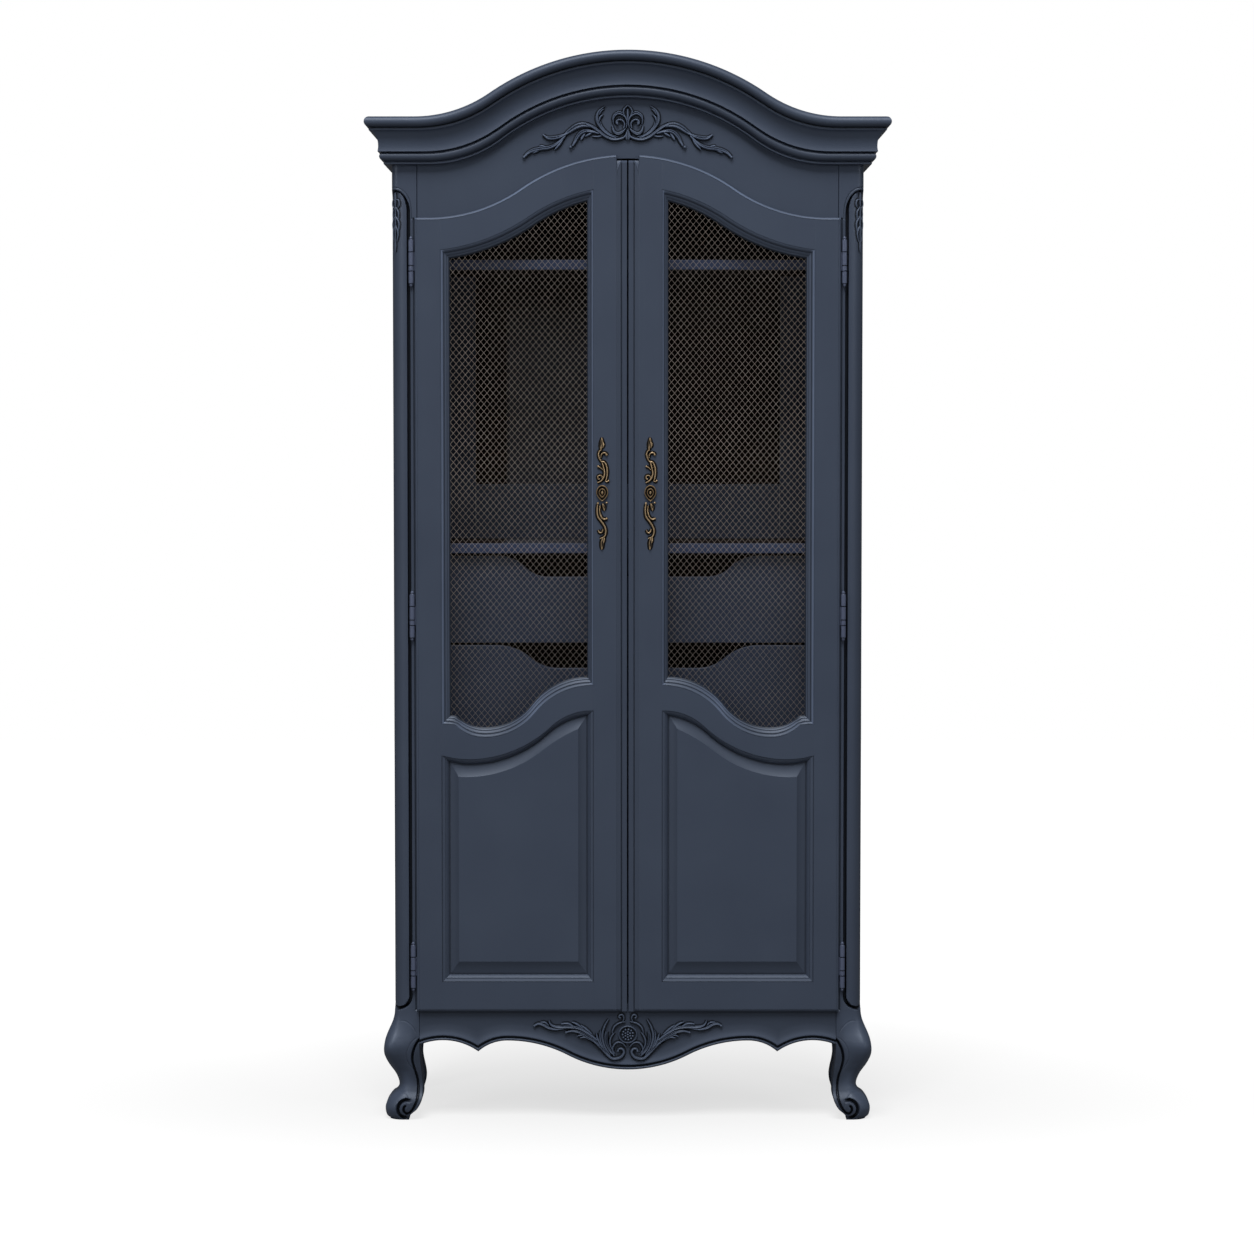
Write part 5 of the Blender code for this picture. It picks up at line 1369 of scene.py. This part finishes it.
# Handle's boss and apron's medallion: places of their centres, half widths and half heights in millimetres, and
# their levels as (scale of the outline, rise)
BOSS_AT = (0.4, 1.5)
BOSS_HALF = (12.8, 16.4)
BOSS_POINT = 2
BOSS_LEVELS = (
    (1, ROOTED), (1, 3.0), (0.96, 4.8), (0.91, 5.6), (0.86, 5.0), (0.82, 2.0), (0.76, 1.0), (0.64, 1.0), (0.59, 2.0),
    (0.55, 4.6), (0.50, 5.2), (0.45, 4.6), (0.41, 2.0), (0.36, 1.2), (0.26, 1.2), (0.21, 3.0), (0.16, 4.6),
    (0.08, 5.0), (0.02, 4.6))
MEDALLION_AT = (0, 3.6)
MEDALLION_HALF = (21, 19.6)
MEDALLION_LEVELS = (
    (1, ROOTED), (1, 2.0), (0.97, 5.0), (0.93, 6.4), (0.89, 6.6), (0.85, 5.6), (0.81, 3.0), (0.78, 0.8), (0.62, 0.6),
    (0.40, 1.0), (0.10, 1.2))
# Seeds of the medallion: rings as (radius, count), the first of which is the middle one; radius and rise of a seed
SEED_RINGS = ((0, 1), (5.6, 6), (11, 11))
SEED = (2.3, 6.8)
# Turns, from its equator up, of the rings of a bead
BALL_TURNS = (0.4, 0.8, 1.15, 1.45)
# Strokes: steps between points, points across, depth of the flute as a share, half widths between which it sets in,
# its place and width across
STROKE_STEPS = 8
BAND_POINTS = 12
FLUTE = 0.5
FLUTED = (2.4, 5)
FLUTE_AT = 0.1
FLUTE_WIDE = 0.3
# Share of its rise that a stroke keeps at narrow ends, and how much wider than written strokes are
LEAST_RISE = 0.6
CARVING_SWELL = 1.05
HANDLE_SWELL = 1.1
# Height value at a ridge, and how fast it falls beside the ridge: painted highlight on the ridge and painted shade
# beside it on the paint, worn metal and patina on the brass
FRIEZE_TONE = (1.4, 2.1)
APRON_TONE = (1.15, 1.9)
HANDLE_TONE = (1.05, 2.8)
SEED_PEAK = 1.3
MEDALLION_PEAK = 0.85
# How much lower the ridges' value is at the middle of a carving, as painted shade, and the span over which that ends
MIDDLE_SHADE = 0.2
MIDDLE_SPAN = (30, 60)
# Thin rim left round each stroke, painted dark as shade
RIM = 2.1
RIM_RISE = 0.4
# Leaf drop on the rounded corner of the post, as (round the corner, height) in millimetres
DROP_ROOT = 1.878
DROP_STROKES = (
    ((1.2, 3.0, 1.0), 3.5, ((0, 78), (0, 64), (0, 48))),
    ((1.0, 2.2, 0.8), 3.0, ((1, 64), (8, 62), (10, 52), (6, 46))),
    ((1.0, 2.2, 0.8), 3.0, ((1, 48), (8, 36), (7, 18))),
    ((1.0, 2.4, 0.8), 3.0, ((0, 30), (9, 14), (7, -6))),
    ((1.0, 2.2, 0.8), 3.0, ((0, 10), (7, -6), (4, -24))),
    ((1.4, 2.0, 1.0), 3.0, ((0, 48), (0, 10), (0, -26))),
    ((1.0, 2.0, 0.6), 3.0, ((0, -20), (0, -32), (0, -46))),
)


def frond(widths, rise, points, place, swell, tone):
    """Carved stroke: a fluted half-round band that swells and tapers along a curve, with a thin rim round it."""
    run = spline(points, STROKE_STEPS)
    widths = [half * swell for half in widths]
    last = len(run) - 1
    widest = max(widths)
    peak, fall = tone
    rings = []
    for k, spot in enumerate(run):
        t = k / last
        ahead = run[min(k + 1, last)] - run[max(k - 1, 0)]
        away = Vector((-ahead.y, ahead.x)).normalized()
        half = widths[0] * (1 - t) * (1 - 2 * t) + widths[1] * 4 * t * (1 - t) + widths[2] * t * (2 * t - 1)
        tall = rise * (LEAST_RISE + (1 - LEAST_RISE) * half / widest)
        groove = FLUTE * ease(*FLUTED, half)
        rim = away * (half + RIM)
        ring = [place(spot - rim, ROOTED) + (0,), place(spot - rim, RIM_RISE) + (0,)]
        for side in spaced(-1, 1, BAND_POINTS):
            flute = groove * math.exp(-((side - FLUTE_AT) / FLUTE_WIDE) ** 2)
            crest = math.sqrt(1 - side * side) * (1 - flute)
            # Lighter on the crest, dark on the sides and rim: painted highlight and shade on paint, worn metal and
            # patina on brass
            value = max(0, peak - fall * (1 - crest))
            ring.append(place(spot + away * half * side, RIM_RISE + tall * crest) + (value,))
        rings.append(ring + [place(spot + rim, RIM_RISE) + (0,), place(spot + rim, ROOTED) + (0,)])
    return loft(rings)


def medal(centre, outline, levels, place, count, floor=0, peak=1):
    """Round ornament: one outline, scaled at each level of (scale, rise)."""
    turns = [2 * math.pi * i / count for i in range(count)]
    shape = [Vector(outline(a)) for a in turns]
    middle = Vector(centre)
    top = max(rise for _, rise in levels)
    # Higher levels take a lighter value: painted highlight and shade on paint, worn metal and patina on brass
    return loft([[place(middle + scale * spot, rise) + (max(0, peak * (rise - floor) / (top - floor)),)
                  for spot in shape]
                 for scale, rise in levels])


def ball(x, z, radius, rise, place, peak=1):
    """Round bead that ends a stroke."""
    floor = rise - radius
    levels = [(1, ROOTED), (1, floor)]
    levels += [(math.cos(a), floor + radius * math.sin(a)) for a in BALL_TURNS]

    def circle(a):
        return radius * math.cos(a), radius * math.sin(a)

    return medal((x, z), circle, levels, place, count=14, floor=floor, peak=peak)


def flare(x, z):
    """How far the apron's face stands proud over its beaded edge."""
    return -along(APRON_EDGE, max(z - apron_edge(x), FLARE_CREST * MM))


def carved(strokes, balls, root, tone, ground):
    """Shells of a carving that is alike on both sides of the cabinet's centre and follows the ground below it."""
    shells = []
    for _, side in SIDES:
        def place(spot, rise, side=side):
            x, z = spot.x * MM, root + spot.y * MM
            return (side * x, FRONT - rise * MM - ground(x, z), z)
        for stroke in strokes:
            # Strokes near the middle take painted shade on their ridges
            painted_shading = MIDDLE_SHADE * (1 - ease(*MIDDLE_SPAN, stroke[2][0][0]))
            shells.append(frond(*stroke, place, CARVING_SWELL, (tone[0] - painted_shading, tone[1])))
        shells += [ball(*spot, place) for spot in balls]
    return shells


def make_carvings():
    """Leaf and scroll carvings on the frieze and the apron."""
    shells = carved(FRIEZE_STROKES, FRIEZE_BALLS, FRIEZE_ROOT, FRIEZE_TONE, lambda x, z: 0)
    piece("frieze_leaf_carving", shells, CARVED, "case", ("frieze_carving",), sharp=60)
    shells = carved(APRON_STROKES, APRON_BALLS, APRON_ROOT, APRON_TONE, flare)

    def place(spot, rise):
        return (spot.x * MM, FRONT - rise * MM, APRON_ROOT + spot.y * MM)

    def oval(a):
        return MEDALLION_HALF[0] * math.cos(a), MEDALLION_HALF[1] * math.sin(a)

    shells.append(medal(MEDALLION_AT, oval, MEDALLION_LEVELS, place, count=48, peak=MEDALLION_PEAK))
    for ring, count in SEED_RINGS:
        for k in range(count):
            turn = 2 * math.pi * (k + 0.5 * (ring > 0)) / count
            seed = (MEDALLION_AT[0] + ring * math.cos(turn), MEDALLION_AT[1] + ring * math.sin(turn))
            shells.append(ball(*seed, *SEED, place, SEED_PEAK))
    piece("apron_leaf_carving", shells, CARVED, "case", ("apron_carving",), sharp=60)
    centre = Vector((BODY_HALF - CORNER_REACH, FRONT + CORNER_REACH))
    for word, side in SIDES:
        shells = []
        for mirror in (-1, 1):
            def place(spot, rise, side=side, mirror=mirror):
                turn = math.pi / 4 + mirror * spot.x * MM / CORNER_REACH
                far = CORNER_REACH + rise * MM
                return (side * (centre.x + far * math.sin(turn)), centre.y - far * math.cos(turn),
                        DROP_ROOT + spot.y * MM)
            shells += [frond(*stroke, place, 1, APRON_TONE) for stroke in DROP_STROKES]
        piece(f"post_leaf_drop_{word}", shells, CARVED, "case", sharp=60)


def teardrop(angle):
    """Outline of the handle's boss: round above, pointed below."""
    down = max(0, -math.sin(angle))
    wide, tall = BOSS_HALF
    return wide * math.cos(angle) * (1 - 0.5 * down ** 2), (tall + BOSS_POINT * down) * math.sin(angle)


def make_handles():
    """Cast brass pulls of scrolls and leaves about a boss."""
    for word, _ in SIDES:
        low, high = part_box(f"{word}_door_handle")
        x = (low.x + high.x) / 2
        z = (low.z + high.z) / 2
        back = high.y

        def place(spot, rise):
            return (x + spot.x * MM, back - max(rise, 0) * MM, z + spot.y * MM)

        shells = [frond(*stroke, place, HANDLE_SWELL, HANDLE_TONE) for stroke in HANDLE_STROKES]
        shells += [ball(*spot, place) for spot in HANDLE_BALLS]
        shells.append(medal(BOSS_AT, teardrop, BOSS_LEVELS, place, count=40))
        piece(f"{word}_door_brass_pull", shells, BRASS, f"{word}_door", (f"{word}_door_handle",), sharp=60)


# Floor, light and camera


FLOOR_HALF = 9
# Floor's grey as it lights the object and as the camera sees it under its glow
FLOOR_GREY = (0.24, 0.20)
# Painted soft shadow in the floor's glow: its shift, its scale, its reach in metres, and the glow at its middle
SHADOW_AT = (0, -0.05, 0)
SHADOW_SCALE = (0.55, 1, 1)
SHADOW_REACH = 1.4
SHADOW_GLOW = 0.68
# Strength of the surroundings as light, where the camera sees them as white
WORLD_LIGHT = 0.10
# Lamps as name, place, size in metres and power in watts
LAMPS = (
    ("key", (-0.58, -5.95, 10.8), 5.2, 1190),
    ("left_fill", (-4.2, -4.4, 3.0), 1.6, 60),
    ("right_fill", (4.2, -4.4, 3.0), 1.6, 46),
)
# Camera: focal length and sensor in millimetres, place in metres, degrees that it looks down
LENS = 102.5
SENSOR = 36
EYE = (-0.0016, FRONT - 7.506, 1.4655)
LOOKS_DOWN = 3.2


def make_floor():
    """Pale floor that keeps the lamps' soft shadow and a painted soft shadow in its glow."""
    half = FLOOR_HALF
    floor_mesh = bpy.data.meshes.new("floor")
    floor_mesh.from_pydata([(-half, -half, 0), (half, -half, 0), (half, half, 0), (-half, half, 0)], [],
                           [(0, 1, 2, 3)])
    floor = bpy.data.objects.new("floor", floor_mesh)
    bpy.context.collection.objects.link(floor)
    pale = bpy.data.materials.new("pale_floor")
    pale.use_nodes = True
    tree = pale.node_tree
    tree.nodes.remove(tree.nodes["Principled BSDF"])
    seen = add(tree, "ShaderNodeLightPath").outputs
    # Seen directly the floor is white but for a soft shadow, partly painted into its glow; the light it sends back is
    # that of pale grey
    tone = add(tree, "ShaderNodeMapRange", {"Value": seen["Is Camera Ray"], "To Min": FLOOR_GREY[0],
                                            "To Max": FLOOR_GREY[1]})
    matt = add(tree, "ShaderNodeBsdfDiffuse", {"Color": tone.outputs[0]})
    spot = add(tree, "ShaderNodeTexCoord").outputs["Object"]
    narrowed = add(tree, "ShaderNodeMapping", {"Vector": spot, "Location": SHADOW_AT, "Scale": SHADOW_SCALE})
    away = add(tree, "ShaderNodeVectorMath", {0: narrowed.outputs[0]}, operation="LENGTH").outputs["Value"]
    white = add(tree, "ShaderNodeMapRange", {"Value": away, "From Max": SHADOW_REACH, "To Min": SHADOW_GLOW,
                                             "To Max": 1.0}).outputs[0]
    seen_white = add(tree, "ShaderNodeMath", {0: white, 1: seen["Is Camera Ray"]}, operation="MULTIPLY")
    glow = add(tree, "ShaderNodeEmission", {"Color": (1, 1, 1, 1), "Strength": seen_white.outputs[0]})
    lifted = add(tree, "ShaderNodeAddShader", {0: matt.outputs[0], 1: glow.outputs[0]})
    tree.links.new(lifted.outputs[0], tree.nodes["Material Output"].inputs["Surface"])
    floor_mesh.materials.append(pale)


def make_light():
    """Pale surroundings and soft studio lamps."""
    world = bpy.data.worlds.new("studio")
    bpy.context.scene.world = world
    world.use_nodes = True
    tree = world.node_tree
    seen = add(tree, "ShaderNodeLightPath").outputs
    clear = add(tree, "ShaderNodeMath", {0: seen["Is Camera Ray"], 1: seen["Is Transmission Ray"]},
                operation="MAXIMUM")
    level = add(tree, "ShaderNodeMapRange", {"Value": clear.outputs[0], "To Min": WORLD_LIGHT, "To Max": 1.0})
    tree.links.new(level.outputs[0], tree.nodes["Background"].inputs["Strength"])
    tree.nodes["Background"].inputs["Color"].default_value = (1, 1, 1, 1)
    middle = Vector((0, 0, CROWN / 2))
    for name, place, size, power in LAMPS:
        lamp = bpy.data.lights.new(name, "AREA")
        lamp.size = size
        lamp.energy = power
        thing = bpy.data.objects.new(name, lamp)
        thing.location = place
        thing.rotation_euler = (middle - Vector(place)).to_track_quat("-Z", "Y").to_euler()
        bpy.context.collection.objects.link(thing)


def make_camera():
    """Camera at the photograph's place, straight in front."""
    lens = bpy.data.cameras.new("camera")
    lens.lens = LENS
    lens.sensor_width = SENSOR
    camera = bpy.data.objects.new("camera", lens)
    camera.location = EYE
    camera.rotation_euler = (math.radians(90 - LOOKS_DOWN), 0, 0)
    bpy.context.collection.objects.link(camera)
    bpy.context.scene.camera = camera
    bpy.context.scene.view_settings.view_transform = "Standard"


make_cornice()
make_frieze()
make_apron()
make_front_posts()
make_rear_posts()
make_case_boards()
make_trays()
for door_word, door_side in SIDES:
    make_door(door_word, door_side)
make_meshes()
make_hinges()
make_carvings()
make_handles()
make_floor()
make_light()
make_camera()
